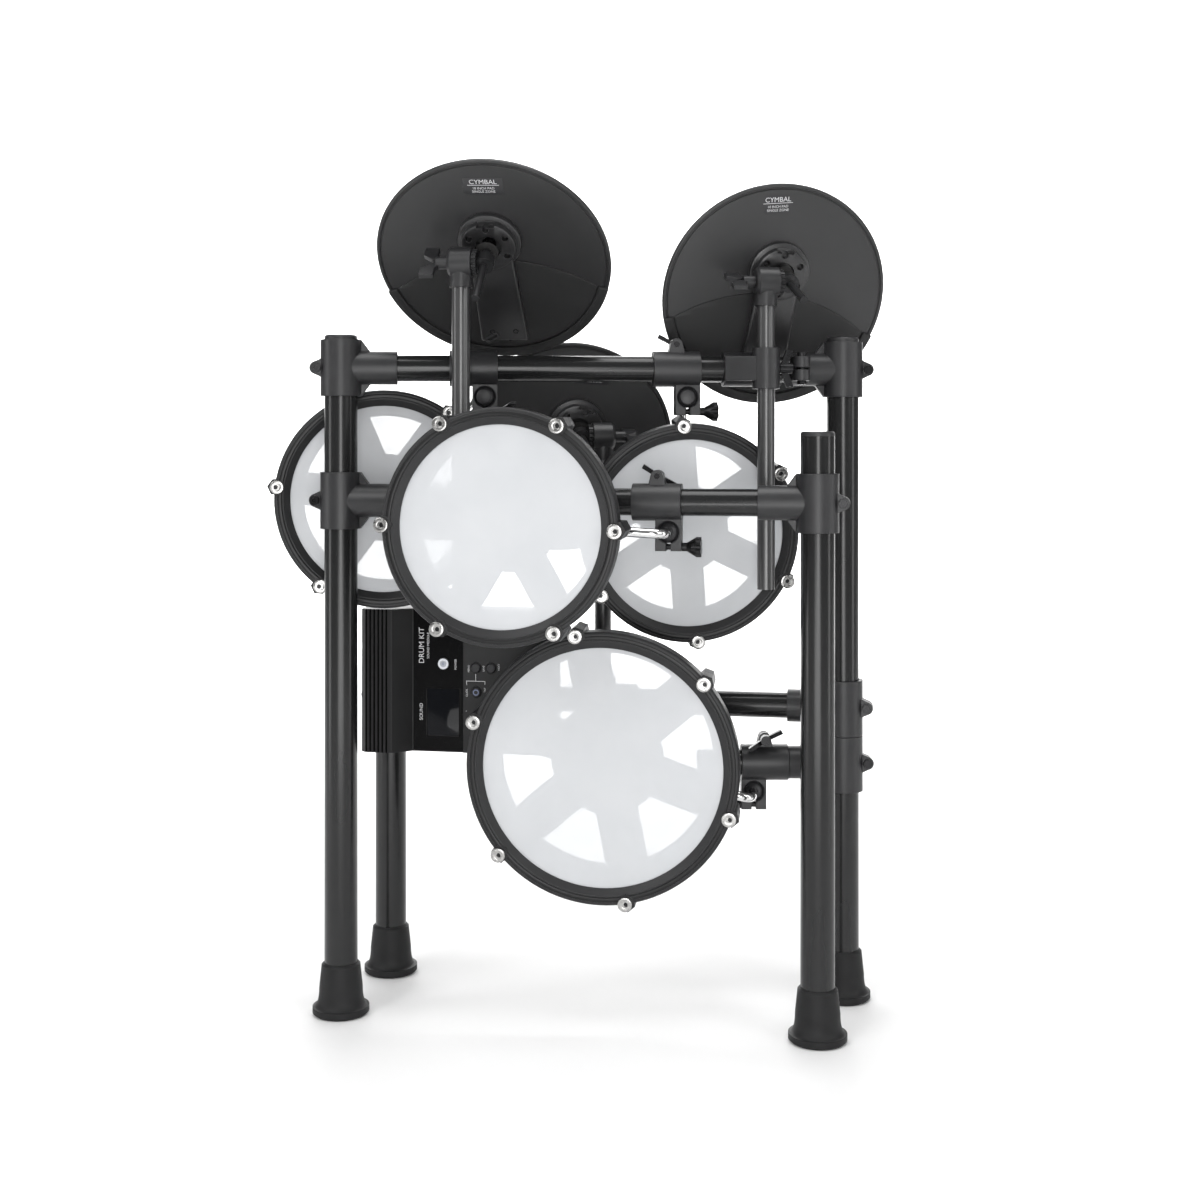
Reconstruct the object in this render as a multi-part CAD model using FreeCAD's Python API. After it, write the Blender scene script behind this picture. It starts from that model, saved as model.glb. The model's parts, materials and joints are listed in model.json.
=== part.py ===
import FreeCAD, Part
import math
import os

# Electronic drum kit folded for storage: four posts, four pads, three cymbals and a sound module.
# X runs to the right of the viewer, Y away from the viewer, Z up. Millimetres and degrees.

# Clearances
overrun = 1.0
tube_gap = 0.3
pin_gap = 0.15
seat_gap = 0.5

# Rack tubes
post_d = 35.0
post_wall = 2.0
bar_d = 28.0
bar_wall = 1.8

# Rack seen from above: turns are measured from X, the left post stands at zero
crossbar_span = 544.0
crossbar_turn = 4.8
front_wing_span = 504.0
front_wing_turn = -9.1
rear_wing_span = 514.0
rear_wing_turn = 170.1
snare_arm_turn = 180.0
snare_bar_end = 155.0

# Heights of the rack
crossbar_z = 687.0
front_wing_drop = 141.0
rear_wing_drop = 369.0
short_post_rise = 38.0

# Post caps
cap_h = 5.0
cap_round = 1.6
cap_plug = 12.0

# Rubber feet
foot_h = 54.0
foot_rim_d = 41.0
foot_waist_d = 46.0
foot_base_d = 60.0
foot_lip_h = 8.0
foot_flare_h = 20.0
foot_floor = 6.0
foot_round = 2.0

# Tee clamps
tee_h = 60.0
tee_wall = 4.0
tee_reach = 60.0
tee_sleeve_wall = 3.5
tee_bar_stop = 23.0
tee_web_t = 7.0
tee_web_reach = 44.0
tee_ear_out = 11.0
tee_ear_r = 7.0
tee_ear_half = 19.0
tee_ear_t = 17.0
tee_slit = 2.4
tee_pad_out = 44.0
tee_pad_h = 26.0
tee_pad_w = 18.0

# Socket head clamp bolts
bolt_d = 6.0
bolt_head_d = 10.0
bolt_head_h = 4.5
bolt_nut_h = 4.0
socket_d = 5.4
socket_deep = 2.5

# Rod clamps that carry the pads
clamp_l = 51.0
clamp_wall = 5.0
clamp_ear_rise = 7.5
clamp_ear_r = 6.5
clamp_ear_half = 13.0
clamp_ear_t = 15.0
clamp_slit = 2.0
ball_d = 23.0
ball_drop = 30.5
ball_along = 12.0
holder_w = 27.0
holder_t = 17.0
holder_below = 19.5
holder_mouth_d = 17.0
holder_slot = 5.0

# Wing screws of the clamps
wing_hub_d = 11.0
wing_hub_l = 14.0
wing_span = 40.0
wing_w = 15.0
wing_t = 4.5
wing_root_share = 0.5
wing_lean = 150.0
thumb_drop = 15.5
thumb_d = 21.0
thumb_l = 20.0
thumb_neck_d = 9.0
thumb_neck_share = 0.25
thumb_flare_share = 0.75
thumb_flute_d = 6.0
thumb_flutes = 6

# Rods that carry the pads
rod_d = 10.0
rod_bend_r = 15.0
rod_behind_shell = 9.0
rod_past_centre = 18.0
rod_tail = 13.0

# Pads: toms and snare differ in head size only
tom_head_d = 204.0
snare_head_d = 253.0
hoop_flange = 7.0
hoop_skirt = 10.3
hoop_rise = 6.0
hoop_edge = 1.2
hoop_groove_w = 1.3
hoop_groove_deep = 1.0
hoop_round = 3.0
hoop_drop = 15.0
head_t = 1.5
head_tuck = 6.0
shell_wall = 5.0
shell_depth = 48.0
shell_step = 8.5
shell_draft = 6.0
shell_back_t = 3.5
hub_share = 0.48
window_share = 0.90
spoke_share = 0.36
window_count = 6
ear_w = 19.0
ear_rise = 1.0
ear_deep = 19.0
lug_in = 1.8
lug_count = 6
lug_screw_d = 6.0
lug_head_d = 12.0
lug_head_h = 4.0
lug_below = 30.0
cone_base_d = 46.0
cone_top_d = 14.0
cone_gap = 0.4
boss_w = 24.0
boss_l = 58.0
boss_back = 24.0
boss_out = 9.0

# Places of the pads: clamp along its bar, pad turn and tilt, rod lengths and lug phase
front_tom_clamp_at = 340.0
front_tom_turn = -9.1
front_tom_tilt = -1.0
front_tom_rod_out = 38.0
front_tom_rod_angle = -3.6
front_tom_rod_reach = 158.0
front_tom_lug_phase = 58.9
left_tom_clamp_at = 141.0
left_tom_ear_back = 75.0
left_tom_turn = 4.8
left_tom_tilt = 0.0
left_tom_rod_out = -99.0
left_tom_rod_angle = 45.5
left_tom_rod_reach = 155.5
left_tom_lug_phase = 53.4
right_tom_clamp_at = 360.0
right_tom_turn = 4.0
right_tom_tilt = -4.0
right_tom_rod_out = -45.0
right_tom_rod_angle = 91.0
right_tom_rod_reach = 147.0
right_tom_lug_phase = 34.2
snare_clamp_at = 86.0
snare_turn = -7.0
snare_tilt = -2.0
snare_rod_out = 42.0
snare_rod_angle = -15.8
snare_rod_reach = 160.5
snare_lug_phase = 40.4

# Cymbal arms and their clamps
arm_d = 19.0
arm_wall = 1.6
arm_l = 321.0
arm_clamp_l = 34.0
arm_clamp_wall = 4.5
arm_holder_h = 44.0
arm_holder_wall = 5.0
arm_aside = 26.0
arm_clear = 3.0
arm_web_h = 26.0
left_arm_at = 138.0
right_arm_at = 454.0
hihat_arm_at = 271.0
left_arm_rise = 98.0
right_arm_rise = 84.0
hihat_arm_drop = 82.0

# Cymbal tilters
tilter_d = 32.0
tilter_l = 25.0
tilter_round = 3.0
tilter_socket = 12.0
tilter_collar_d = 24.0
tilter_collar_h = 5.0
tooth_ring_d = 28.0
tooth_ring_l = 5.0
tooth_count = 18
tooth_deep = 1.2
eye_d = 20.0
eye_l = 14.0
tilter_pin_d = 7.0
cymbal_rod_d = 8.0
cymbal_rod_front = 62.0
cymbal_rod_past_nut = 3.0
nut_hub_d = 13.0
nut_hub_l = 13.0
nut_span = 46.0
nut_wing_w = 15.0
nut_wing_t = 5.0

# Cymbals
cymbal_d = 253.0
cymbal_t = 6.5
cymbal_rise = 4.5
cymbal_mid_share = 0.5
cymbal_mid_rise_share = 0.67
cymbal_rim_t = 4.0
lip_w = 11.0
lip_h = 3.0
lip_span = 206.0
zone_r = 245.0
zone_apex = 16.0
zone_h = 1.0
zone_inset = 2.0
bead_w = 1.6
mount_off = 28.0
mount_d = 56.0
mount_h = 13.0
mount_bore_d = 15.0
mount_well_d = 28.0
mount_well_deep = 8.0
mount_hole_d = 7.6
mount_hole_ring_d = 43.0
mount_hole_count = 6
bell_d = 74.0
bell_h = 9.0
bell_top_d = 37.0
tongue_w = 44.0
tongue_tip_w = 30.0
tongue_l = 84.0
tongue_h = 8.0
tongue_draft = 3.0
felt_d = 24.0
felt_neck_d = 15.0
felt_h = 6.0
felt_gap = 0.9
top_nut_d = 22.0
top_nut_h = 12.0
pivot_to_mount = 26.0

# Places of the cymbals: turn of the tilter pin, tilt of the cymbal rod below level, roll about the rod
left_pin_turn = -7.3
left_rod_tilt = 42.0
left_cymbal_roll = 0.0
right_pin_turn = 10.0
right_rod_tilt = 22.5
right_cymbal_roll = 4.0
hihat_pin_turn = 190.0
hihat_rod_tilt = 163.0
hihat_cymbal_roll = 21.0

# Sound module
module_w = 157.5
module_l = 214.0
module_case_h = 40.0
module_edge = 6.0
module_drop = 51.5
module_at = 412.0
module_left = 112.0
module_back_gap = 12.0
spine_l = 55.0
spine_h = 15.0
spine_crest = 36.0
spine_rib_count = 6
spine_rib_w = 2.0
spine_rib_pitch = 4.6
spine_rib_deep = 1.0
panel_l = 58.0
panel_t = 1.6
panel_edge = 1.5
button_d = 11.0
power_d = 13.0
button_h = 2.6
button_well = 5.0
dial_well = 3.2
button_gap = 0.35
button_travel = 1.2
dial_d = 36.0
dial_h = 9.0
dial_flute_count = 24
dial_flute_d = 2.4
dial_edge = 1.6
dimple_d = 9.0
dimple_deep = 1.6
dimple_turn = 60.0
power_along = 36.0
power_up = 97.5
menu_along = 72.5
select_along = 89.5
menu_up = 93.5
click_along = 73.0
click_up = 67.0
dial_along = 172.0
dial_up = 64.5
bracket_w = 40.0
bracket_wall = 5.0
bracket_plate_w = 70.0
bracket_plate_h = 84.0
bracket_plate_t = 4.0
bracket_neck_w = 26.0

post_r = post_d / 2
bar_r = bar_d / 2
rod_r = rod_d / 2
arm_r = arm_d / 2
ball_r = ball_d / 2
tee_r = post_r + tube_gap + tee_wall
sleeve_r = bar_r + tube_gap + tee_sleeve_wall
clamp_r = bar_r + tube_gap + clamp_wall
arm_clamp_r = bar_r + tube_gap + arm_clamp_wall
arm_holder_r = arm_r + tube_gap + arm_holder_wall
arm_off = bar_r + arm_clear + arm_r
front_wing_z = crossbar_z - front_wing_drop
rear_wing_z = crossbar_z - rear_wing_drop
snare_bar_z = rear_wing_z - tee_h - seat_gap
long_post_top = crossbar_z + tee_h / 2
front_post_top = front_wing_z + tee_h / 2 + short_post_rise
rear_post_top = rear_wing_z + tee_h / 2 + short_post_rise
left_arm_top = crossbar_z + left_arm_rise
right_arm_top = crossbar_z + right_arm_rise
hihat_arm_top = crossbar_z - hihat_arm_drop

x_axis = FreeCAD.Vector(1, 0, 0)
y_axis = FreeCAD.Vector(0, 1, 0)
z_axis = FreeCAD.Vector(0, 0, 1)
zero = FreeCAD.Vector(0, 0, 0)


def vec(x, y, z):
    return FreeCAD.Vector(x, y, z)


def cylinder(radius, length, start, direction):
    return Part.makeCylinder(radius, length, start, direction)


def tube(outer_r, inner_r, length, start, direction):
    outer = cylinder(outer_r, length, start, direction)
    return outer.cut(cylinder(inner_r, length + 2 * overrun, start - direction * overrun, direction))


def block(low, high):
    size = high - low
    return Part.makeBox(size.x, size.y, size.z, low)


def prism(points, sweep):
    return Part.Face(Part.makePolygon(points + points[:1])).extrude(sweep)


def turned(points, axis=z_axis, angle=360):
    return Part.Face(Part.makePolygon(points + points[:1])).revolve(zero, axis, angle)


def hexagon(width, start, direction, side):
    across = direction.cross(side)
    corners = []
    for k in range(6):
        a = math.radians(60 * k)
        corners.append(start + (side * math.cos(a) + across * math.sin(a)) * (width / 2))
    return corners


def polar(radius, angle, z=0):
    a = math.radians(angle)
    return vec(radius * math.cos(a), radius * math.sin(a), z)


def heading(turn):
    return polar(1, turn)


def seated(shape, origin, x_dir, z_dir):
    y_dir = z_dir.cross(x_dir)
    m = FreeCAD.Matrix(
        x_dir.x, y_dir.x, z_dir.x, origin.x,
        x_dir.y, y_dir.y, z_dir.y, origin.y,
        x_dir.z, y_dir.z, z_dir.z, origin.z,
        0, 0, 0, 1)
    placed = shape.copy()
    placed.transformShape(m)
    return placed


def group(shapes):
    solids = []
    for shape in shapes:
        solids.extend(shape.Solids)
    return Part.makeCompound(solids)


# Rack pieces, each in the frame of the post or bar that it sits on

def socket_bolt(grip, start, direction, side):
    shank = cylinder(bolt_d / 2, grip, start, direction)
    head = cylinder(bolt_head_d / 2, bolt_head_h, start - direction * bolt_head_h, direction)
    head_face = start - direction * bolt_head_h
    key = prism(hexagon(socket_d, head_face, direction, side), direction * socket_deep)
    nut_face = start + direction * grip
    nut = prism(hexagon(bolt_head_d, nut_face, direction, side), direction * bolt_nut_h)
    return shank.fuse(head).fuse(nut).cut(key).removeSplitter()


def post(top):
    shaft = tube(post_r, post_r - post_wall, top - foot_floor, vec(0, 0, foot_floor), z_axis)
    plug_r = post_r - post_wall - pin_gap
    profile = [
        vec(0, 0, top - cap_plug), vec(plug_r, 0, top - cap_plug), vec(plug_r, 0, top),
        vec(post_r, 0, top), vec(post_r, 0, top + cap_h - cap_round),
        vec(post_r - cap_round, 0, top + cap_h), vec(0, 0, top + cap_h)]
    return group([shaft, turned(profile)])


def foot():
    rim_r = foot_rim_d / 2
    waist_r = foot_waist_d / 2
    base_r = foot_base_d / 2
    flare_z = foot_lip_h + foot_flare_h
    top = vec(rim_r, 0, foot_h - foot_round)
    edges = [
        Part.LineSegment(vec(0, 0, 0), vec(base_r - foot_round, 0, 0)).toShape(),
        Part.LineSegment(vec(base_r - foot_round, 0, 0), vec(base_r, 0, foot_round)).toShape(),
        Part.LineSegment(vec(base_r, 0, foot_round), vec(base_r, 0, foot_lip_h)).toShape()]
    flare = Part.BezierCurve()
    flare.setPoles([vec(base_r, 0, foot_lip_h), vec(waist_r, 0, foot_lip_h), vec(waist_r, 0, flare_z)])
    edges.append(flare.toShape())
    edges.append(Part.LineSegment(vec(waist_r, 0, flare_z), top).toShape())
    rim_in = vec(rim_r - foot_round, 0, foot_h)
    edges.append(Part.LineSegment(top, rim_in).toShape())
    edges.append(Part.LineSegment(rim_in, vec(0, 0, foot_h)).toShape())
    edges.append(Part.LineSegment(vec(0, 0, foot_h), vec(0, 0, 0)).toShape())
    boot = Part.Face(Part.Wire(edges)).revolve(zero, z_axis, 360)
    return boot.cut(cylinder(post_r + pin_gap, foot_h, vec(0, 0, foot_floor), z_axis))


def rounded_ear(base_half, base_at, tip_at, tip_r, thick):
    # Flat ear in the XZ plane that rises along Z to a round tip, centred on Y
    drop = math.asin((base_half - tip_r) / math.hypot(base_half, tip_at - base_at))
    side = math.atan2(base_half, tip_at - base_at)
    lean = math.pi / 2 - (side - drop)
    lean = min(lean, math.pi / 2)
    touch = vec(tip_r * math.sin(lean), 0, tip_at + tip_r * math.cos(lean))
    mirror = vec(-touch.x, 0, touch.z)
    edges = [
        Part.LineSegment(vec(-base_half, 0, base_at), vec(base_half, 0, base_at)).toShape(),
        Part.LineSegment(vec(base_half, 0, base_at), touch).toShape(),
        Part.Arc(touch, vec(0, 0, tip_at + tip_r), mirror).toShape(),
        Part.LineSegment(mirror, vec(-base_half, 0, base_at)).toShape()]
    ear = Part.Face(Part.Wire(edges)).extrude(vec(0, thick, 0))
    ear.translate(vec(0, -thick / 2, 0))
    return ear


def tee(pad_side=0):
    # Post along Z, bar along X, a split pad on the sleeve's front or back where asked
    half = tee_h / 2
    body = cylinder(tee_r, tee_h, vec(0, 0, -half), z_axis)
    body = body.fuse(cylinder(sleeve_r, tee_reach, zero, x_axis))
    web_y = -tee_web_t / 2
    web = [
        vec(0, web_y, half), vec(tee_r, web_y, half), vec(tee_web_reach, web_y, 0),
        vec(tee_r, web_y, -half), vec(0, web_y, -half)]
    body = body.fuse(prism(web, vec(0, tee_web_t, 0)))
    ear = rounded_ear(tee_ear_half, 0, tee_r + tee_ear_out - tee_ear_r, tee_ear_r, tee_ear_t)
    body = body.fuse(seated(ear, zero, z_axis, -x_axis))
    bolt_x = -(tee_r + tee_ear_out - tee_ear_r)
    pad_at = tee_reach - tee_pad_w / 2
    pad_y = pad_side * (sleeve_r + tee_pad_out - tee_pad_w / 2) / 2
    if pad_side:
        neck_low = vec(tee_reach - tee_pad_w, min(0, pad_y), -tee_pad_h / 2)
        neck = block(neck_low, vec(tee_reach, max(0, pad_y), tee_pad_h / 2))
        knuckle = cylinder(tee_pad_w / 2, tee_pad_h, vec(pad_at, pad_y, -tee_pad_h / 2), z_axis)
        body = body.fuse(neck).fuse(knuckle)
    body = body.cut(cylinder(post_r + tube_gap, tee_h + 2 * overrun, vec(0, 0, -half - overrun), z_axis))
    body = body.cut(cylinder(bar_r + tube_gap, tee_reach, vec(tee_bar_stop, 0, 0), x_axis))
    slit_out = tee_r + tee_ear_out + overrun
    ear_slit_low = vec(-slit_out, -tee_slit / 2, -half - overrun)
    body = body.cut(block(ear_slit_low, vec(0, tee_slit / 2, half + overrun)))
    through = tee_ear_t + 2 * overrun
    body = body.cut(cylinder(bolt_d / 2 + pin_gap, through, vec(bolt_x, -through / 2, 0), y_axis))
    bolts = [socket_bolt(tee_ear_t, vec(bolt_x, -tee_ear_t / 2, 0), y_axis, x_axis)]
    if pad_side:
        slit_y = pad_side * (tee_pad_out + overrun)
        slit_low = vec(tee_reach - tee_pad_w - overrun, min(0, slit_y), -tee_slit / 2)
        body = body.cut(block(slit_low, vec(tee_reach + overrun, max(0, slit_y), tee_slit / 2)))
        top = vec(pad_at, pad_y, tee_pad_h / 2 + overrun)
        body = body.cut(cylinder(bolt_d / 2 + pin_gap, tee_pad_h + 2 * overrun, top, -z_axis))
        bolts.append(socket_bolt(tee_pad_h, vec(pad_at, pad_y, tee_pad_h / 2), -z_axis, x_axis))
    return group([body] + bolts)


def bar(start, end):
    return tube(bar_r, bar_r - bar_wall, end - start, vec(start, 0, 0), x_axis)


def end_plug(end):
    plug_r = bar_r - bar_wall - pin_gap
    face = end + cap_h
    profile = [
        vec(end - cap_plug, 0, 0), vec(end - cap_plug, 0, plug_r), vec(end, 0, plug_r),
        vec(end, 0, bar_r), vec(face - cap_round, 0, bar_r), vec(face, 0, bar_r - cap_round), vec(face, 0, 0)]
    return turned(profile, x_axis)


def wing_screw(grip, hub_at, direction, side):
    # Shank towards the clamp, hub and two slanted wings outside it
    across = direction.cross(side)
    shank = cylinder(bolt_d / 2, grip, hub_at - direction * grip, direction)
    hub = cylinder(wing_hub_d / 2, wing_hub_l, hub_at, direction)
    corner = hub_at - side * (wing_span / 2) - across * (wing_t / 2)
    far_corner = corner + side * wing_span
    root = direction * (wing_hub_l * wing_root_share)
    middle = hub_at - across * (wing_t / 2)
    wing = [
        corner + root, corner + direction * wing_w, middle + direction * (wing_hub_l / 2),
        far_corner + direction * wing_w, far_corner + root, middle]
    return shank.fuse(hub).fuse(prism(wing, across * wing_t)).removeSplitter()


def thumb_screw(grip, knob_at):
    # Fluted knob along X with its shank back through the cheeks
    neck_r = thumb_neck_d / 2
    knob_r = thumb_d / 2
    profile = [
        vec(0, 0, 0), vec(0, 0, neck_r), vec(thumb_l * thumb_neck_share, 0, neck_r),
        vec(thumb_l * thumb_flare_share, 0, knob_r), vec(thumb_l, 0, knob_r), vec(thumb_l, 0, 0)]
    knob = turned(profile, x_axis)
    for k in range(thumb_flutes):
        at = polar(knob_r, 360 * k / thumb_flutes)
        flute = cylinder(thumb_flute_d / 2, thumb_l, vec(thumb_l * thumb_neck_share, at.x, at.y), x_axis)
        knob = knob.cut(flute)
    shank = cylinder(bolt_d / 2, grip, vec(-grip, 0, 0), x_axis)
    screw = knob.fuse(shank)
    screw.translate(knob_at)
    return screw


def rod_clamp(ear_back=0):
    # Bar along X, pad rod through the ball along Y, split ear turned back from upright
    start = vec(-clamp_l / 2, 0, 0)
    body = cylinder(clamp_r, clamp_l, start, x_axis)
    tip_z = clamp_r + clamp_ear_rise
    ear = rounded_ear(clamp_ear_half, 0, tip_z, clamp_ear_r, clamp_ear_t)
    ear.rotate(zero, x_axis, -ear_back)
    body = body.fuse(ear)
    right = clamp_l / 2
    low_z = -ball_drop - holder_below
    centre = vec(ball_along, 0, -ball_drop)
    left = ball_along - holder_w / 2
    cheeks = block(vec(left, -holder_t / 2, low_z), vec(left + holder_w, holder_t / 2, 0))
    ring = cylinder(holder_w / 2, holder_t, centre - y_axis * (holder_t / 2), y_axis)
    body = body.fuse(cheeks).fuse(ring)
    body = body.cut(cylinder(bar_r + tube_gap, clamp_l + 2 * overrun, start - x_axis * overrun, x_axis))
    body = body.cut(Part.makeSphere(ball_r + tube_gap, centre))
    mouth_r = holder_mouth_d / 2
    for side in (-1, 1):
        out = holder_t / 2 + overrun
        inner = mouth_r / 2
        mouth = Part.makeCone(mouth_r - inner, mouth_r + inner, out, centre, y_axis * side)
        body = body.cut(mouth)
    slot_half = holder_slot / 2
    slot_low = vec(ball_along - slot_half, -holder_t / 2 - overrun, low_z - overrun)
    body = body.cut(block(slot_low, vec(ball_along + slot_half, holder_t / 2 + overrun, -ball_drop)))
    slit_top = tip_z + clamp_ear_r + overrun
    slit_low = vec(-right - overrun, -clamp_slit / 2, 0)
    slit = block(slit_low, vec(right + overrun, clamp_slit / 2, slit_top))
    bolt_room = clamp_ear_t + 2 * overrun
    hole = cylinder(bolt_d / 2 + pin_gap, bolt_room, vec(0, -bolt_room / 2, tip_z), y_axis)
    for opening in (slit, hole):
        opening.rotate(zero, x_axis, -ear_back)
        body = body.cut(opening)
    thumb_z = -ball_drop - thumb_drop
    cheek_right = left + holder_w
    hole_start = vec(left - overrun, 0, thumb_z)
    body = body.cut(cylinder(bolt_d / 2 + pin_gap, holder_w + 2 * overrun, hole_start, x_axis))
    turn = polar(1, wing_lean)
    wing = wing_screw(clamp_ear_t, vec(0, clamp_ear_t / 2, tip_z), y_axis, vec(turn.x, 0, turn.y))
    wing.rotate(zero, x_axis, -ear_back)
    thumb = thumb_screw(holder_w, vec(cheek_right, 0, thumb_z))
    return group([body, wing, thumb])


def arm_clamp(side=1):
    # Bar along X, cymbal arm along Z in front of the bar, to the right of the sleeve or mirrored
    body = cylinder(arm_clamp_r, arm_clamp_l, vec(-arm_clamp_l / 2, 0, 0), x_axis)
    holder_at = vec(arm_aside, -arm_off, -arm_holder_h / 2)
    body = body.fuse(cylinder(arm_holder_r, arm_holder_h, holder_at, z_axis))
    web = [
        vec(-arm_clamp_l / 2, 0, -arm_web_h / 2), vec(-arm_clamp_l / 2, -arm_clamp_r, -arm_web_h / 2),
        vec(arm_aside, -arm_off - arm_holder_r, -arm_web_h / 2), vec(arm_aside, 0, -arm_web_h / 2)]
    body = body.fuse(prism(web, vec(0, 0, arm_web_h)))
    room = arm_clamp_l + arm_aside + arm_holder_r
    body = body.cut(cylinder(bar_r + tube_gap, 2 * room, vec(-room, 0, 0), x_axis))
    bore_h = arm_holder_h + 2 * overrun
    body = body.cut(cylinder(arm_r + tube_gap, bore_h, holder_at - z_axis * overrun, z_axis))
    slit = block(
        vec(-arm_clamp_l, bar_r - overrun, -tee_slit / 2),
        vec(arm_clamp_l, arm_clamp_r + overrun, tee_slit / 2))
    body = body.cut(slit)
    wing_at = vec(arm_aside + arm_holder_r, -arm_off, 0)
    hole = cylinder(bolt_d / 2 + pin_gap, arm_holder_r, vec(arm_aside + arm_r, -arm_off, 0), x_axis)
    body = body.cut(hole)
    wing = wing_screw(arm_holder_wall, wing_at, x_axis, z_axis)
    clamp = group([body, wing])
    if side < 0:
        clamp = clamp.mirror(zero, x_axis)
    return clamp


# Pads, built about the head's centre with the playing side towards Z

def pad_sizes(head_d):
    sizes = {}
    sizes["open_r"] = head_d / 2
    sizes["flange_r"] = sizes["open_r"] + hoop_flange
    sizes["skin_r"] = sizes["open_r"] + head_tuck
    sizes["hoop_r"] = sizes["flange_r"] + hoop_skirt
    sizes["neck_r"] = sizes["flange_r"] - seat_gap
    sizes["belly_r"] = sizes["neck_r"] + shell_step
    sizes["lug_r"] = sizes["hoop_r"] - lug_in
    return sizes


def ear_ring(s, top, deep, phase):
    points = hexagon(ear_w, vec(s["lug_r"], 0, top), z_axis, x_axis)
    ears = []
    for k in range(lug_count):
        ear = prism(points, vec(0, 0, -deep))
        ear.rotate(zero, z_axis, phase + 360 * k / lug_count)
        ears.append(ear)
    return ears


def drilled(shape, s, drill_d, top, deep, phase):
    for k in range(lug_count):
        at = polar(s["lug_r"], phase + 360 * k / lug_count, top)
        shape = shape.cut(cylinder(drill_d / 2, deep, at, -z_axis))
    return shape


def hoop(head_d, phase):
    # Slope up from the head, groove, flat crown with a rounded outer edge, skirt down over the shell's neck
    s = pad_sizes(head_d)
    slope_top = hoop_rise - hoop_groove_deep
    crown_r = s["flange_r"] + hoop_groove_w
    profile = [
        vec(s["open_r"], 0, 0), vec(s["open_r"], 0, hoop_edge), vec(s["flange_r"], 0, slope_top),
        vec(crown_r, 0, slope_top), vec(crown_r, 0, hoop_rise), vec(s["hoop_r"], 0, hoop_rise),
        vec(s["hoop_r"], 0, -hoop_drop), vec(s["flange_r"], 0, -hoop_drop), vec(s["flange_r"], 0, 0)]
    ring = turned(profile)
    high = [e for e in ring.Edges if e.BoundBox.ZMin > hoop_rise - hoop_groove_deep / 2]
    outer = [e for e in high if e.BoundBox.YMax > crown_r + hoop_groove_w]
    ring = ring.makeFillet(hoop_round, outer)
    top = hoop_rise + ear_rise
    for ear in ear_ring(s, top, top + hoop_drop, phase):
        ring = ring.fuse(ear)
    ring = ring.cut(cylinder(s["flange_r"], hoop_drop + overrun, zero, -z_axis))
    drill_d = lug_screw_d + 2 * pin_gap
    ring = drilled(ring, s, drill_d, top + overrun, top + hoop_drop + 2 * overrun, phase)
    return group([ring] + lug_screws(s, top, phase))


def lug_screws(s, top, phase):
    screws = []
    for k in range(lug_count):
        at = polar(s["lug_r"], phase + 360 * k / lug_count, top)
        head = cylinder(lug_head_d / 2, lug_head_h, at, z_axis)
        shank = cylinder(lug_screw_d / 2, lug_below, at, -z_axis)
        key = prism(hexagon(socket_d, at + z_axis * lug_head_h, -z_axis, x_axis), -z_axis * socket_deep)
        screws.append(head.fuse(shank).cut(key))
    return screws


def head(head_d):
    s = pad_sizes(head_d)
    return cylinder(s["skin_r"], head_t, zero, -z_axis)


def shell(head_d, phase, rod_angle, window_phase):
    s = pad_sizes(head_d)
    belly_z = -hoop_drop - seat_gap
    back_r = s["belly_r"] - shell_draft
    inner_r = s["skin_r"] - shell_wall
    floor_z = -shell_depth + shell_back_t
    profile = [
        vec(inner_r, 0, -head_t), vec(s["neck_r"], 0, -head_t), vec(s["neck_r"], 0, belly_z),
        vec(s["belly_r"], 0, belly_z), vec(back_r, 0, -shell_depth), vec(0, 0, -shell_depth),
        vec(0, 0, floor_z), vec(back_r - shell_wall, 0, floor_z), vec(inner_r, 0, belly_z)]
    cup = turned(profile)
    for ear in ear_ring(s, belly_z, ear_deep, phase):
        cup = cup.fuse(ear)
    cup = cup.cut(cylinder(inner_r, -belly_z + overrun, vec(0, 0, belly_z), z_axis))
    cup = drilled(cup, s, lug_screw_d + 2 * pin_gap, belly_z + overrun, ear_deep, phase)
    outer_r = s["open_r"] * window_share
    hub_r = s["open_r"] * hub_share
    spoke_half = s["open_r"] * spoke_share / 2
    ring = tube(outer_r, hub_r, shell_back_t + 2 * overrun, vec(0, 0, -shell_depth - overrun), z_axis)
    for k in range(window_count):
        spoke_low = vec(0, -spoke_half, -shell_depth - 2 * overrun)
        spoke = block(spoke_low, vec(outer_r + overrun, spoke_half, floor_z + 2 * overrun))
        spoke.rotate(zero, z_axis, window_phase + 360 * (k + 0.5) / window_count)
        ring = ring.cut(spoke)
    cup = cup.cut(ring)
    rod_z = -shell_depth - rod_behind_shell
    boss = block(vec(-boss_back, -boss_w / 2, rod_z - boss_out), vec(boss_l, boss_w / 2, -shell_depth))
    saddle = cylinder(boss_w / 2, boss_back + boss_l, vec(-boss_back, 0, rod_z), x_axis)
    square = block(vec(-boss_back, -boss_w / 2, rod_z), vec(boss_l, boss_w / 2, -shell_depth))
    boss = boss.common(saddle).fuse(square)
    bore_l = boss_l + rod_past_centre + 2 * overrun
    boss = boss.cut(cylinder(rod_r + tube_gap, bore_l, vec(-rod_past_centre - overrun, 0, rod_z), x_axis))
    boss.rotate(zero, z_axis, rod_angle)
    cone_top = -head_t - cone_gap
    cone = Part.makeCone(cone_base_d / 2, cone_top_d / 2, cone_top - floor_z, vec(0, 0, floor_z), z_axis)
    return group([cup, boss, cone])


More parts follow.
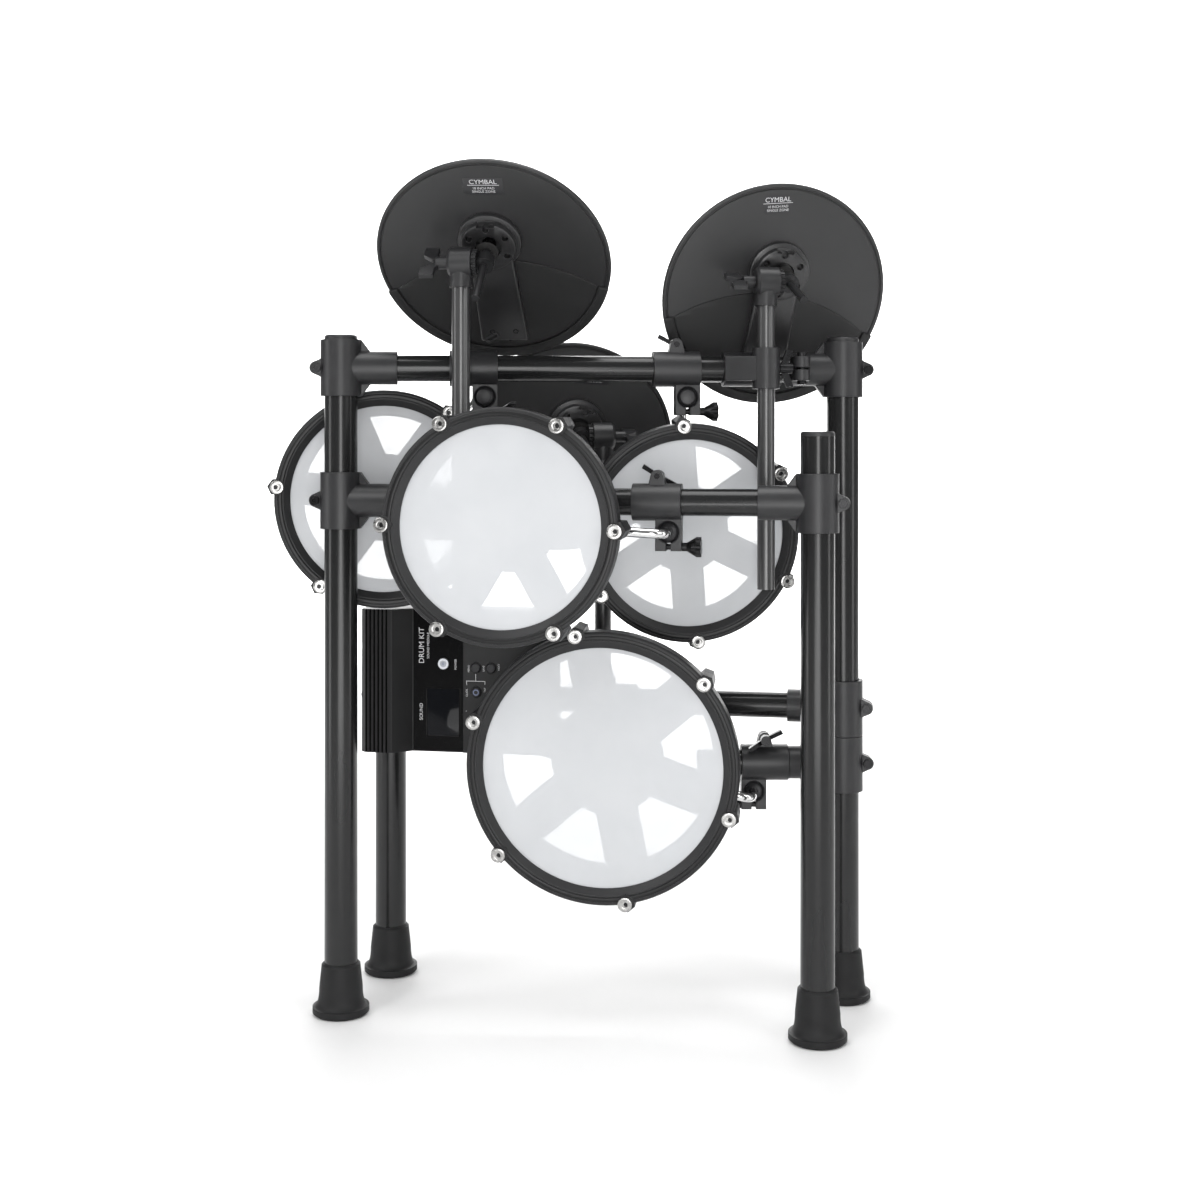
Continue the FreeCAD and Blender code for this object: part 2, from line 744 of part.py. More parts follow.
def pad_frame(clamp_origin, bar_dir, turn, tilt, rod_out, rod_angle, rod_reach):
    # Pad axes and centre, worked out from the ball along the rod's two legs
    ball = clamp_origin + bar_dir * ball_along - z_axis * ball_drop
    t = math.radians(turn)
    p = math.radians(tilt)
    face = vec(math.sin(t) * math.cos(p), -math.cos(t) * math.cos(p), math.sin(p))
    right = vec(math.cos(t), math.sin(t), 0)
    up = face.cross(right)
    a = math.radians(rod_angle)
    to_bend = right * math.cos(a) + up * math.sin(a)
    bend = ball + face * rod_out
    centre = bend - to_bend * rod_reach + face * (shell_depth + rod_behind_shell)
    return {"ball": ball, "face": face, "right": right, "bend": bend, "to_bend": to_bend, "centre": centre}


def rod(f, rod_out, rod_reach):
    # Leg through the ball, bend, long leg along the back of the pad
    sense = 1 if rod_out > 0 else -1
    near = f["face"] * sense
    tail = f["ball"] - near * rod_tail
    before = f["bend"] - near * rod_bend_r
    after = f["bend"] - f["to_bend"] * rod_bend_r
    corner = f["bend"] - (near + f["to_bend"]) * rod_bend_r
    middle = corner + (near + f["to_bend"]) * (rod_bend_r / math.sqrt(2))
    end = f["bend"] - f["to_bend"] * (rod_reach + rod_past_centre)
    path = Part.Wire([
        Part.LineSegment(tail, before).toShape(), Part.Arc(before, middle, after).toShape(),
        Part.LineSegment(after, end).toShape()])
    section = Part.Wire([Part.Circle(tail, near, rod_r).toShape()])
    bent = path.makePipeShell([section], True, False)
    ball = Part.makeSphere(ball_r, f["ball"])
    bore_start = f["ball"] - near * (ball_r + overrun)
    ball = ball.cut(cylinder(rod_r + pin_gap, ball_d + 2 * overrun, bore_start, near))
    return group([bent, ball])


# Cymbal arms, tilters and cymbals

def arm(top, pin):
    # Tube with the tilter's fixed block on its top, pin along the given heading
    shaft = tube(arm_r, arm_r - arm_wall, arm_l, vec(0, 0, top - arm_l), z_axis)
    pivot_z = top + tilter_d / 2 - tilter_socket + tilter_collar_h
    half = tilter_l / 2
    r = tilter_d / 2
    profile = [
        vec(-half, 0, 0), vec(-half, 0, r - tilter_round), vec(-half + tilter_round, 0, r),
        vec(half, 0, r), vec(half, 0, 0)]
    drum = turned(profile, x_axis)
    collar_low = top - tilter_socket - tilter_collar_h
    collar_l = pivot_z - collar_low
    collar = cylinder(tilter_collar_d / 2, collar_l, vec(0, 0, collar_low - pivot_z), z_axis)
    fixed = drum.fuse(collar)
    socket_low = vec(0, 0, collar_low - pivot_z - overrun)
    fixed = fixed.cut(cylinder(arm_r + pin_gap, top - collar_low + overrun, socket_low, z_axis))
    pin_bore_r = tilter_pin_d / 2 + tube_gap
    fixed = fixed.cut(cylinder(pin_bore_r, tilter_l + 2 * overrun, vec(-half - overrun, 0, 0), x_axis))
    fixed = seated(fixed, vec(0, 0, pivot_z), heading(pin), z_axis)
    return group([shaft, fixed]), pivot_z


def tilter():
    # Pin along X through the block, toothed ring and eye beside it, cymbal rod along Z through the eye
    half = tilter_l / 2
    pin_l = tilter_l + nut_hub_l
    pin = cylinder(tilter_pin_d / 2, pin_l, vec(-half - nut_hub_l, 0, 0), x_axis)
    ring_at = half + tube_gap
    ring = cylinder(tooth_ring_d / 2, tooth_ring_l, vec(ring_at, 0, 0), x_axis)
    for k in range(tooth_count):
        at = polar(tooth_ring_d / 2, 360 * k / tooth_count)
        ring = ring.cut(cylinder(tooth_deep, tooth_ring_l, vec(ring_at, at.x, at.y), x_axis))
    eye_at = ring_at + tooth_ring_l + eye_l / 2
    eye = cylinder(eye_d / 2, eye_l, vec(eye_at, 0, -eye_l / 2), z_axis)
    neck = cylinder(eye_l / 2, eye_l / 2, vec(ring_at + tooth_ring_l, 0, 0), x_axis)
    stack = mount_h + cymbal_t + bell_h + felt_gap + felt_h + top_nut_h
    rod_back = pivot_to_mount + stack + cymbal_rod_past_nut
    stem = cylinder(cymbal_rod_d / 2, cymbal_rod_front + rod_back, vec(eye_at, 0, -rod_back), z_axis)
    carrier = pin.fuse(cylinder(tilter_pin_d / 2, tube_gap, vec(half, 0, 0), x_axis))
    carrier = carrier.fuse(ring).fuse(neck).fuse(eye).fuse(stem)
    return group([carrier] + rod_hardware(eye_at))


def rod_hardware(eye_at):
    # Felts on both sides of the cymbal and the nut on the rod's far end
    seat_z = -pivot_to_mount + felt_gap
    bore_r = cymbal_rod_d / 2 + pin_gap
    far_z = -pivot_to_mount - mount_h - cymbal_t - bell_h - felt_gap
    near_felt = Part.makeCone(felt_neck_d / 2, felt_d / 2, felt_h, vec(eye_at, 0, seat_z), z_axis)
    far_felt = Part.makeCone(felt_neck_d / 2, felt_d / 2, felt_h, vec(eye_at, 0, far_z), -z_axis)
    nut_z = far_z - felt_h
    nut = prism(hexagon(top_nut_d, vec(eye_at, 0, nut_z), -z_axis, x_axis), -z_axis * top_nut_h)
    pieces = []
    for piece in (near_felt, far_felt, nut):
        low = vec(eye_at, 0, nut_z - top_nut_h - overrun)
        pieces.append(piece.cut(cylinder(bore_r, -low.z, low, z_axis)))
    return pieces


def wing_nut():
    # Hub along X with two broad wings
    start = -tilter_l / 2 - tube_gap
    hub = cylinder(nut_hub_d / 2, nut_hub_l, vec(start - nut_hub_l, 0, 0), x_axis)
    half = nut_span / 2
    out = start - nut_hub_l
    t = nut_wing_t / 2
    wing = [
        vec(start - nut_hub_l / 2, -t, 0), vec(out, -t, half / 2), vec(out, -t, half),
        vec(out - nut_wing_w, -t, half), vec(out - nut_wing_w, -t, half / 2), vec(out, -t, 0),
        vec(out - nut_wing_w, -t, -half / 2), vec(out - nut_wing_w, -t, -half), vec(out, -t, -half),
        vec(out, -t, -half / 2)]
    nut = hub.fuse(prism(wing, vec(0, nut_wing_t, 0)))
    bore = cylinder(tilter_pin_d / 2 + tube_gap, nut_hub_l + nut_wing_w, vec(start + overrun, 0, 0), -x_axis)
    return nut.cut(bore)


def cymbal():
    # Underside towards Z, built about the middle of its mount, which lies off the disc's centre
    r = cymbal_d / 2
    rim = cymbal_rim_t / 2
    disc_profile = [
        vec(0, 0, 0), vec(r - rim, 0, 0), vec(r, 0, -rim), vec(r, 0, -cymbal_rim_t),
        vec(r - rim, 0, -cymbal_rim_t - rim),
        vec(r * cymbal_mid_share, 0, -cymbal_t - cymbal_rise * cymbal_mid_rise_share),
        vec(0, 0, -cymbal_t - cymbal_rise)]
    disc = turned(disc_profile)
    lip_profile = [
        vec(r - lip_w, 0, 0), vec(r - lip_w + lip_h, 0, lip_h), vec(r - rim, 0, lip_h), vec(r, 0, -rim),
        vec(r - rim, 0, 0)]
    lip = turned(lip_profile, z_axis, lip_span)
    lip.rotate(zero, z_axis, -90 - lip_span / 2)
    zone = cylinder(zone_r, zone_h, vec(0, zone_apex - zone_r, 0), z_axis)
    zone = zone.common(cylinder(r - lip_w - zone_inset, zone_h, zero, z_axis))
    bead_in = r - lip_w - bead_w
    bead_profile = [vec(bead_in, 0, 0), vec(bead_in + bead_w / 2, 0, zone_h), vec(r - lip_w, 0, 0)]
    bead = turned(bead_profile, z_axis, 360 - lip_span)
    bead.rotate(zero, z_axis, lip_span / 2 - 90)
    disc = disc.fuse(lip).fuse(zone).fuse(bead)
    disc.translate(vec(0, -mount_off, 0))
    mount = cylinder(mount_d / 2, mount_h, zero, z_axis)
    wide = tongue_w / 2
    slim = tongue_tip_w / 2
    foot_line = Part.makePolygon([
        vec(-wide, 0, 0), vec(wide, 0, 0), vec(slim, -tongue_l, 0), vec(-slim, -tongue_l, 0),
        vec(-wide, 0, 0)])
    top_wide = wide - tongue_draft
    top_slim = slim - tongue_draft
    top_l = tongue_l - tongue_draft
    top_line = Part.makePolygon([
        vec(-top_wide, 0, tongue_h), vec(top_wide, 0, tongue_h), vec(top_slim, -top_l, tongue_h),
        vec(-top_slim, -top_l, tongue_h), vec(-top_wide, 0, tongue_h)])
    tongue = Part.makeLoft([foot_line, top_line], True, True)
    bell_top = -cymbal_t - bell_h
    bell = Part.makeCone(bell_d / 2, bell_top_d / 2, bell_h + cymbal_t, zero, -z_axis)
    plate = disc.fuse(tongue).fuse(mount).fuse(bell)
    through = mount_h - bell_top + 2 * overrun
    plate = plate.cut(cylinder(mount_bore_d / 2, through, vec(0, 0, bell_top - overrun), z_axis))
    well_floor = vec(0, 0, mount_h - mount_well_deep)
    plate = plate.cut(cylinder(mount_well_d / 2, mount_well_deep + overrun, well_floor, z_axis))
    for k in range(mount_hole_count):
        at = polar(mount_hole_ring_d / 2, 360 * (k + 0.5) / mount_hole_count, well_floor.z)
        plate = plate.cut(cylinder(mount_hole_d / 2, mount_well_deep + overrun, at, z_axis))
    return plate


# Sound module: X along its long side, Y up its width, Z out of its face

def module_case():
    length = module_l
    low = -module_case_h
    outline = [
        vec(0, 0, low), vec(length, 0, low), vec(length, 0, -module_edge), vec(length - module_edge, 0, 0),
        vec(spine_l, 0, 0), vec(spine_l, 0, -panel_t), vec(spine_crest, 0, spine_h),
        vec(module_edge, 0, spine_h), vec(0, 0, spine_h - module_edge)]
    case = prism([vec(p.x, module_w, p.z) for p in outline], vec(0, -module_w, 0))
    for k in range(spine_rib_count):
        at = module_edge + spine_rib_w + k * spine_rib_pitch
        groove = block(
            vec(at - spine_rib_w, -overrun, spine_h - spine_rib_deep),
            vec(at, module_w + overrun, spine_h + overrun))
        case = case.cut(groove)
    panel_low = vec(spine_l, -overrun, -panel_t)
    case = case.cut(block(panel_low, vec(spine_l + panel_l, module_w + overrun, overrun)))
    wells = [(along, up, d, button_well) for along, up, d in button_places()]
    wells.append((dial_along, dial_up, dial_d, dial_well))
    for along, up, d, deep in wells:
        case = case.cut(cylinder(d / 2 + button_gap, deep + overrun, vec(along, up, -deep), z_axis))
    return case


def button_places():
    return [
        (spine_l + power_along, power_up, power_d), (spine_l + menu_along, menu_up, button_d),
        (spine_l + select_along, menu_up, button_d), (spine_l + click_along, click_up, button_d)]


def module_panel():
    low = vec(spine_l + panel_edge, panel_edge, -panel_t)
    panel = block(low, vec(spine_l + panel_l, module_w - panel_edge, 0))
    along, up, d = button_places()[0]
    hole_start = vec(along, up, -panel_t - overrun)
    return panel.cut(cylinder(d / 2 + button_gap, panel_t + 2 * overrun, hole_start, z_axis))


def button(d):
    low = -button_well + button_travel + seat_gap
    cap = [
        vec(0, 0, low), vec(d / 2, 0, low), vec(d / 2, 0, button_h / 2),
        vec(d / 2 - button_h / 2, 0, button_h), vec(0, 0, button_h)]
    return turned(cap)


def dial():
    r = dial_d / 2
    low = -dial_well + seat_gap
    profile = [
        vec(0, 0, low), vec(r, 0, low), vec(r, 0, dial_h - dial_edge), vec(r - dial_edge, 0, dial_h),
        vec(0, 0, dial_h)]
    knob = turned(profile)
    for k in range(dial_flute_count):
        at = polar(r, 360 * k / dial_flute_count, button_gap)
        knob = knob.cut(cylinder(dial_flute_d / 2, dial_h, at, z_axis))
    dimple_at = polar(r / 2, dimple_turn, dial_h - dimple_deep)
    return knob.cut(Part.makeCone(dimple_d / 2, dimple_d / 2 + dimple_deep, dimple_deep, dimple_at, z_axis))


def module_bracket(plate_y, plate_z):
    # Bar along X: a sleeve with a neck to the plate behind the module
    body = cylinder(bar_r + tube_gap + bracket_wall, bracket_w, vec(-bracket_w / 2, 0, 0), x_axis)
    neck_half = bracket_neck_w / 2
    neck = block(vec(-neck_half, 0, -neck_half), vec(neck_half, plate_y, neck_half))
    low = vec(-bracket_plate_w / 2, plate_y - bracket_plate_t, plate_z - bracket_plate_h / 2)
    high = vec(bracket_plate_w / 2, plate_y, plate_z + bracket_plate_h / 2)
    body = body.fuse(neck).fuse(block(low, high))
    room = bracket_plate_w
    return body.cut(cylinder(bar_r + tube_gap, room, vec(-room / 2, 0, 0), x_axis))


# Places on the rack

left_post_at = zero
right_post_at = left_post_at + heading(crossbar_turn) * crossbar_span
front_post_at = left_post_at + heading(front_wing_turn) * front_wing_span
rear_post_at = right_post_at + heading(rear_wing_turn) * rear_wing_span


def on_bar(post_at, turn, along, z):
    return post_at + heading(turn) * along + z_axis * z


pads = [
    ("front_tom", tom_head_d, left_post_at, front_wing_turn, front_tom_clamp_at, front_wing_z,
     front_tom_turn, front_tom_tilt, front_tom_rod_out, front_tom_rod_angle, front_tom_rod_reach,
     front_tom_lug_phase),
    ("left_tom", tom_head_d, left_post_at, crossbar_turn, left_tom_clamp_at, crossbar_z,
     left_tom_turn, left_tom_tilt, left_tom_rod_out, left_tom_rod_angle, left_tom_rod_reach,
     left_tom_lug_phase),
    ("right_tom", tom_head_d, left_post_at, crossbar_turn, right_tom_clamp_at, crossbar_z,
     right_tom_turn, right_tom_tilt, right_tom_rod_out, right_tom_rod_angle, right_tom_rod_reach,
     right_tom_lug_phase),
    ("snare", snare_head_d, right_post_at, snare_arm_turn, snare_clamp_at, snare_bar_z,
     snare_turn, snare_tilt, snare_rod_out, snare_rod_angle, snare_rod_reach,
     snare_lug_phase)]

cymbals = [
    ("left", left_post_at, front_wing_turn, left_arm_at, front_wing_z, left_arm_top,
     left_pin_turn, left_rod_tilt, left_cymbal_roll),
    ("right", left_post_at, crossbar_turn, right_arm_at, crossbar_z, right_arm_top,
     right_pin_turn, right_rod_tilt, right_cymbal_roll),
    ("hihat", right_post_at, rear_wing_turn, hihat_arm_at, rear_wing_z, hihat_arm_top,
     hihat_pin_turn, hihat_rod_tilt, hihat_cymbal_roll)]


def rack_nodes():
    def tee_on(post_at, turn, z, pad_side=0):
        return seated(tee(pad_side), post_at + z_axis * z, heading(turn), z_axis)

    def bar_on(post_at, turn, span, z):
        return seated(bar(tee_bar_stop, span - tee_bar_stop), post_at + z_axis * z, heading(turn), z_axis)

    def clamp_on(shape, post_at, turn, along, z):
        return seated(shape, on_bar(post_at, turn, along, z), heading(turn), z_axis)

    def post_on(post_at, top):
        return seated(post(top), post_at, x_axis, z_axis)

    def foot_on(post_at):
        return seated(foot(), post_at, x_axis, z_axis)

    nodes = {}
    nodes["left_centre_post"] = post_on(left_post_at, long_post_top)
    nodes["right_centre_post"] = post_on(right_post_at, long_post_top)
    nodes["top_crossbar"] = bar_on(left_post_at, crossbar_turn, crossbar_span, crossbar_z)
    nodes["top_tees"] = group([
        tee_on(left_post_at, crossbar_turn, crossbar_z),
        tee_on(right_post_at, crossbar_turn + 180, crossbar_z, 1)])
    nodes["centre_feet"] = group([foot_on(left_post_at), foot_on(right_post_at)])
    nodes["rack_tom_clamps"] = group([
        clamp_on(rod_clamp(left_tom_ear_back), left_post_at, crossbar_turn, left_tom_clamp_at, crossbar_z),
        clamp_on(rod_clamp(), left_post_at, crossbar_turn, right_tom_clamp_at, crossbar_z)])
    nodes["rack_arm_clamp"] = clamp_on(
        arm_clamp(), left_post_at, crossbar_turn, right_arm_at - arm_aside, crossbar_z)

    nodes["front_wing_bar"] = bar_on(left_post_at, front_wing_turn, front_wing_span, front_wing_z)
    nodes["front_wing_post"] = post_on(front_post_at, front_post_top)
    nodes["front_wing_tees"] = group([
        tee_on(left_post_at, front_wing_turn, front_wing_z),
        tee_on(front_post_at, front_wing_turn + 180, front_wing_z)])
    nodes["front_wing_foot"] = foot_on(front_post_at)
    nodes["front_tom_clamp"] = clamp_on(
        rod_clamp(), left_post_at, front_wing_turn, front_tom_clamp_at, front_wing_z)
    nodes["front_arm_clamp"] = clamp_on(
        arm_clamp(-1), left_post_at, front_wing_turn, left_arm_at + arm_aside, front_wing_z)

    nodes["rear_wing_bar"] = bar_on(right_post_at, rear_wing_turn, rear_wing_span, rear_wing_z)
    nodes["rear_wing_post"] = post_on(rear_post_at, rear_post_top)
    nodes["rear_wing_tees"] = group([
        tee_on(right_post_at, rear_wing_turn, rear_wing_z),
        tee_on(rear_post_at, rear_wing_turn + 180, rear_wing_z)])
    nodes["rear_wing_foot"] = foot_on(rear_post_at)
    nodes["rear_arm_clamp"] = clamp_on(
        arm_clamp(), right_post_at, rear_wing_turn, hihat_arm_at - arm_aside, rear_wing_z)

    nodes["snare_tee"] = tee_on(right_post_at, snare_arm_turn, snare_bar_z)
    short_bar = group([bar(tee_bar_stop, snare_bar_end), end_plug(snare_bar_end)])
    snare_bar_at = right_post_at + z_axis * snare_bar_z
    nodes["snare_bar"] = seated(short_bar, snare_bar_at, heading(snare_arm_turn), z_axis)
    nodes["snare_clamp"] = clamp_on(rod_clamp(), right_post_at, snare_arm_turn, snare_clamp_at, snare_bar_z)
    return nodes


def pad_nodes():
    nodes = {}
    frames = {}
    for name, head_d, post_at, bar_turn, along, z, turn, tilt, rod_out, rod_angle, reach, phase in pads:
        clamp_at = on_bar(post_at, bar_turn, along, z)
        f = pad_frame(clamp_at, heading(bar_turn), turn, tilt, rod_out, rod_angle, reach)
        frames[name] = f
        window_phase = phase + 180 / lug_count
        for piece, shape in (
                ("hoop", hoop(head_d, phase)), ("head", head(head_d)),
                ("shell", shell(head_d, phase, rod_angle, window_phase))):
            nodes[name + "_" + piece] = seated(shape, f["centre"], f["right"], f["face"])
        nodes[name + "_rod"] = rod(f, rod_out, reach)
    return nodes, frames


def cymbal_nodes():
    nodes = {}
    frames = {}
    eye_at = tilter_l / 2 + tube_gap + tooth_ring_l + eye_l / 2
    for name, post_at, bar_turn, along, z, top, pin_turn, tilt, roll in cymbals:
        front = heading(bar_turn - 90)
        foot_at = post_at + heading(bar_turn) * along + front * arm_off
        shape, pivot_z = arm(top, pin_turn)
        nodes[name + "_cymbal_arm"] = seated(shape, foot_at, x_axis, z_axis)
        pivot = foot_at + z_axis * pivot_z
        pin = heading(pin_turn)
        t = math.radians(tilt)
        stem = heading(pin_turn - 90) * math.cos(t) - z_axis * math.sin(t)
        nodes[name + "_cymbal_tilter"] = seated(tilter(), pivot, pin, stem)
        nodes[name + "_wing_nut"] = seated(wing_nut(), pivot, pin, stem)
        mount = pivot + pin * eye_at - stem * (pivot_to_mount + mount_h)
        right = pin if pin.x > 0 else -pin
        plate = cymbal()
        plate.rotate(zero, z_axis, -roll)
        nodes[name + "_cymbal"] = seated(plate, mount, right, stem)
        frames[name] = {"pivot": pivot, "pin": pin, "stem": stem, "mount": mount, "arm": foot_at}
    return nodes, frames


def module_nodes():
    bar_dir = heading(rear_wing_turn)
    at = on_bar(right_post_at, rear_wing_turn, module_at, rear_wing_z)
    face = heading(rear_wing_turn + 90)
    up = z_axis
    along = up.cross(face)
    corner = at + face * (bar_r + module_back_gap + module_case_h) - along * module_left
    corner = corner - z_axis * module_drop
    nodes = {"module_case": seated(module_case(), corner, along, face)}
    nodes["module_panel"] = seated(module_panel(), corner, along, face)
    names = ("power_button", "menu_button", "select_button", "click_button")
    for name, (b_along, b_up, d) in zip(names, button_places()):
        nodes[name] = seated(button(d), corner + along * b_along + up * b_up, along, face)
    nodes["data_dial"] = seated(dial(), corner + along * dial_along + up * dial_up, along, face)
    middle_z = module_w / 2 - module_drop
    bracket = module_bracket(bar_r + module_back_gap, middle_z)
    nodes["module_bracket"] = seated(bracket, at, -along, z_axis)
    return nodes, {"corner": corner, "along": along, "face": face, "bar": at, "bar_dir": bar_dir}


def build():
    nodes = rack_nodes()
    pad_parts, pad_frames = pad_nodes()
    cymbal_parts, cymbal_frames = cymbal_nodes()
    module_parts, module_frame = module_nodes()
    nodes.update(pad_parts)
    nodes.update(cymbal_parts)
    nodes.update(module_parts)
    return nodes, pad_frames, cymbal_frames, module_frame


def centring(nodes):
    # Shift that brings the middle of the kit's base over the origin
    box = FreeCAD.BoundBox()
    for shape in nodes.values():
        box.add(shape.optimalBoundingBox(False, False))
    return vec(-box.Center.x, -box.Center.y, -box.ZMin)


parts, pad_frames, cymbal_frames, module_frame = build()
stand = centring(parts)

os.makedirs("parts", exist_ok=True)
for node_name, node_shape in parts.items():
    node_shape.translate(stand)
    node_shape.exportStep("parts/" + node_name + ".step")
print("wrote", len(parts), "nodes, shifted by", stand)
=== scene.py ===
import json
import math
import bpy
import numpy as np
from mathutils import Matrix, Vector


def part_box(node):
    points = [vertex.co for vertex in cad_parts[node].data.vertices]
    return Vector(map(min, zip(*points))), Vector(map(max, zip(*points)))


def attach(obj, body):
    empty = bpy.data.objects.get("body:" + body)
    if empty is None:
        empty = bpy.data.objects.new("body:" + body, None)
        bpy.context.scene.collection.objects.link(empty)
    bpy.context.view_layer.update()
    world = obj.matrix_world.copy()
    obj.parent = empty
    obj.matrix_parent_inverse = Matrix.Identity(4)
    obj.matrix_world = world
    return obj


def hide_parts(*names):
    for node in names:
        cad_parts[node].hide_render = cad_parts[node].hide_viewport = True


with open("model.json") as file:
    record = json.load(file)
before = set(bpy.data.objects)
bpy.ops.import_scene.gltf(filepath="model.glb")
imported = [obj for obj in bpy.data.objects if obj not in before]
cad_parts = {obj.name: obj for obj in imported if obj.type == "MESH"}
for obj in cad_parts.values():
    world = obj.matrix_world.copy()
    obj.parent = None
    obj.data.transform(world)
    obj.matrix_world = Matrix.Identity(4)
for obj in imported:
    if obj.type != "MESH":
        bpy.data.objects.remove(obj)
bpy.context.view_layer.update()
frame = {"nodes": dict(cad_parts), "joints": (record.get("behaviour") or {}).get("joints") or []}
nodes = frame["nodes"]
joints = {j["name"]: j for j in frame["joints"]}
mm = 0.001
padNames = ("front_tom", "left_tom", "right_tom", "snare")
cymbalSides = ("left", "right", "hihat")
make = {}  # the finishes by name, filled further down
print("frame loaded:", len(nodes), "nodes")


# small helpers
def deselect():
    if bpy.context.mode != "OBJECT":
        bpy.ops.object.mode_set(mode="OBJECT")
    bpy.ops.object.select_all(action="DESELECT")
    bpy.context.view_layer.objects.active = None


def activate(piece):
    deselect()
    piece.select_set(True)
    bpy.context.view_layer.objects.active = piece


def clearPicks(piece, mode):  # nothing selected, ready for picking in code
    activate(piece)
    bpy.ops.object.mode_set(mode="EDIT")
    bpy.ops.mesh.select_mode(type=mode)
    bpy.ops.mesh.select_all(action="DESELECT")
    bpy.ops.object.mode_set(mode="OBJECT")


def pickFaces(piece, keep):  # edit mode on, only the faces that keep() likes are selected
    clearPicks(piece, "FACE")
    for face in piece.data.polygons:
        face.select = bool(keep(face))
    bpy.ops.object.mode_set(mode="EDIT")


def pickEdges(piece, keep):  # edges by their two end points
    clearPicks(piece, "EDGE")
    points = piece.data.vertices
    for edge in piece.data.edges:
        first, second = edge.vertices
        edge.select = bool(keep(points[first].co, points[second].co))
    bpy.ops.object.mode_set(mode="EDIT")


def leaveEdit():
    bpy.ops.object.mode_set(mode="OBJECT")


def applyPlace():
    bpy.ops.object.transform_apply(location=True, rotation=True, scale=True)


def bakeOn(piece, kind, **settings):  # add a modifier and apply it at once
    activate(piece)
    modifier = piece.modifiers.new("work", kind)
    for key, value in settings.items():
        setattr(modifier, key, value)
    bpy.ops.object.modifier_apply(modifier=modifier.name)


def smoothByAngle(piece, angle=35):
    activate(piece)
    bpy.ops.object.shade_smooth_by_angle(angle=math.radians(angle))


def softEdges(piece, width, segments=2, angle=40):  # rounded edges, width in millimetres
    bakeOn(piece, "BEVEL", width=width * mm, segments=segments, limit_method="ANGLE", angle_limit=math.radians(angle))
    smoothByAngle(piece)


def localFrame(origin, xDir, zDir):
    yDir = zDir.cross(xDir)
    turn = Matrix((xDir, yDir, zDir)).transposed().to_4x4()
    return Matrix.Translation(origin) @ turn


def spinZ(degrees):
    return Matrix.Rotation(math.radians(degrees), 4, "Z")


def shiftTo(spot, x, y, z=0.0, turn=0.0):  # a place inside a local frame, in millimetres
    return spot @ Matrix.Translation((x * mm, y * mm, z * mm)) @ spinZ(turn)


def slide(piece, x, y):  # moves the mesh itself, in millimetres
    piece.data.transform(Matrix.Translation((x * mm, y * mm, 0)))
    return piece


def onCircle(radius, degrees):
    return radius * math.cos(math.radians(degrees)), radius * math.sin(math.radians(degrees))


def copyOf(piece, name):
    twin = piece.copy()
    twin.data = piece.data.copy()
    twin.name = name
    bpy.context.scene.collection.objects.link(twin)
    return twin


def settle(piece, spot, name, body, finish):  # its place goes into the mesh, then it rides on its body
    activate(piece)
    applyPlace()
    piece.data.transform(spot)
    piece.data.update()
    piece.name = name
    piece.data.materials.clear()
    piece.data.materials.append(make[finish])
    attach(piece, body)
    return piece


weldGrid = 20000  # points nearer than 0.05 mm count as one


def islands(node):  # groups of faces that share points, largest first
    mesh = node.data
    spots = np.empty(len(mesh.vertices) * 3)
    mesh.vertices.foreach_get("co", spots)
    points = spots.reshape(-1, 3)
    keys = np.round(points * weldGrid).astype(np.int64)
    _, weld = np.unique(keys, axis=0, return_inverse=True)
    weld = weld.ravel()
    root = np.arange(weld.max() + 1)

    def find(a):
        while root[a] != a:
            root[a] = root[root[a]]
            a = root[a]
        return a

    for face in mesh.polygons:
        a = find(weld[face.vertices[0]])
        for v in face.vertices[1:]:
            b = find(weld[v])
            root[b] = a
    groups = {}
    for face in mesh.polygons:
        groups.setdefault(find(weld[face.vertices[0]]), []).append(face.index)
    found = []
    for faces in groups.values():
        used = sorted({v for f in faces for v in mesh.polygons[f].vertices})
        low = points[used].min(axis=0)
        high = points[used].max(axis=0)
        size = float(np.linalg.norm(high - low))
        found.append({"faces": faces, "low": Vector(low), "high": Vector(high), "size": size})
    found.sort(key=lambda g: -g["size"])
    return found


def facesOf(groups):
    return [f for g in groups for f in g["faces"]]


def pointsOf(mesh, group):
    return [mesh.vertices[v].co for v in {v for f in group["faces"] for v in mesh.polygons[f].vertices}]


def dress(node, main, *others):  # others are (finish, face indices)
    mesh = nodes[node].data
    mesh.materials.clear()
    mesh.materials.append(make[main])
    for face in mesh.polygons:
        face.material_index = 0
    for finish, faces in others:
        mesh.materials.append(make[finish])
        index = len(mesh.materials) - 1
        for f in faces:
            mesh.polygons[f].material_index = index


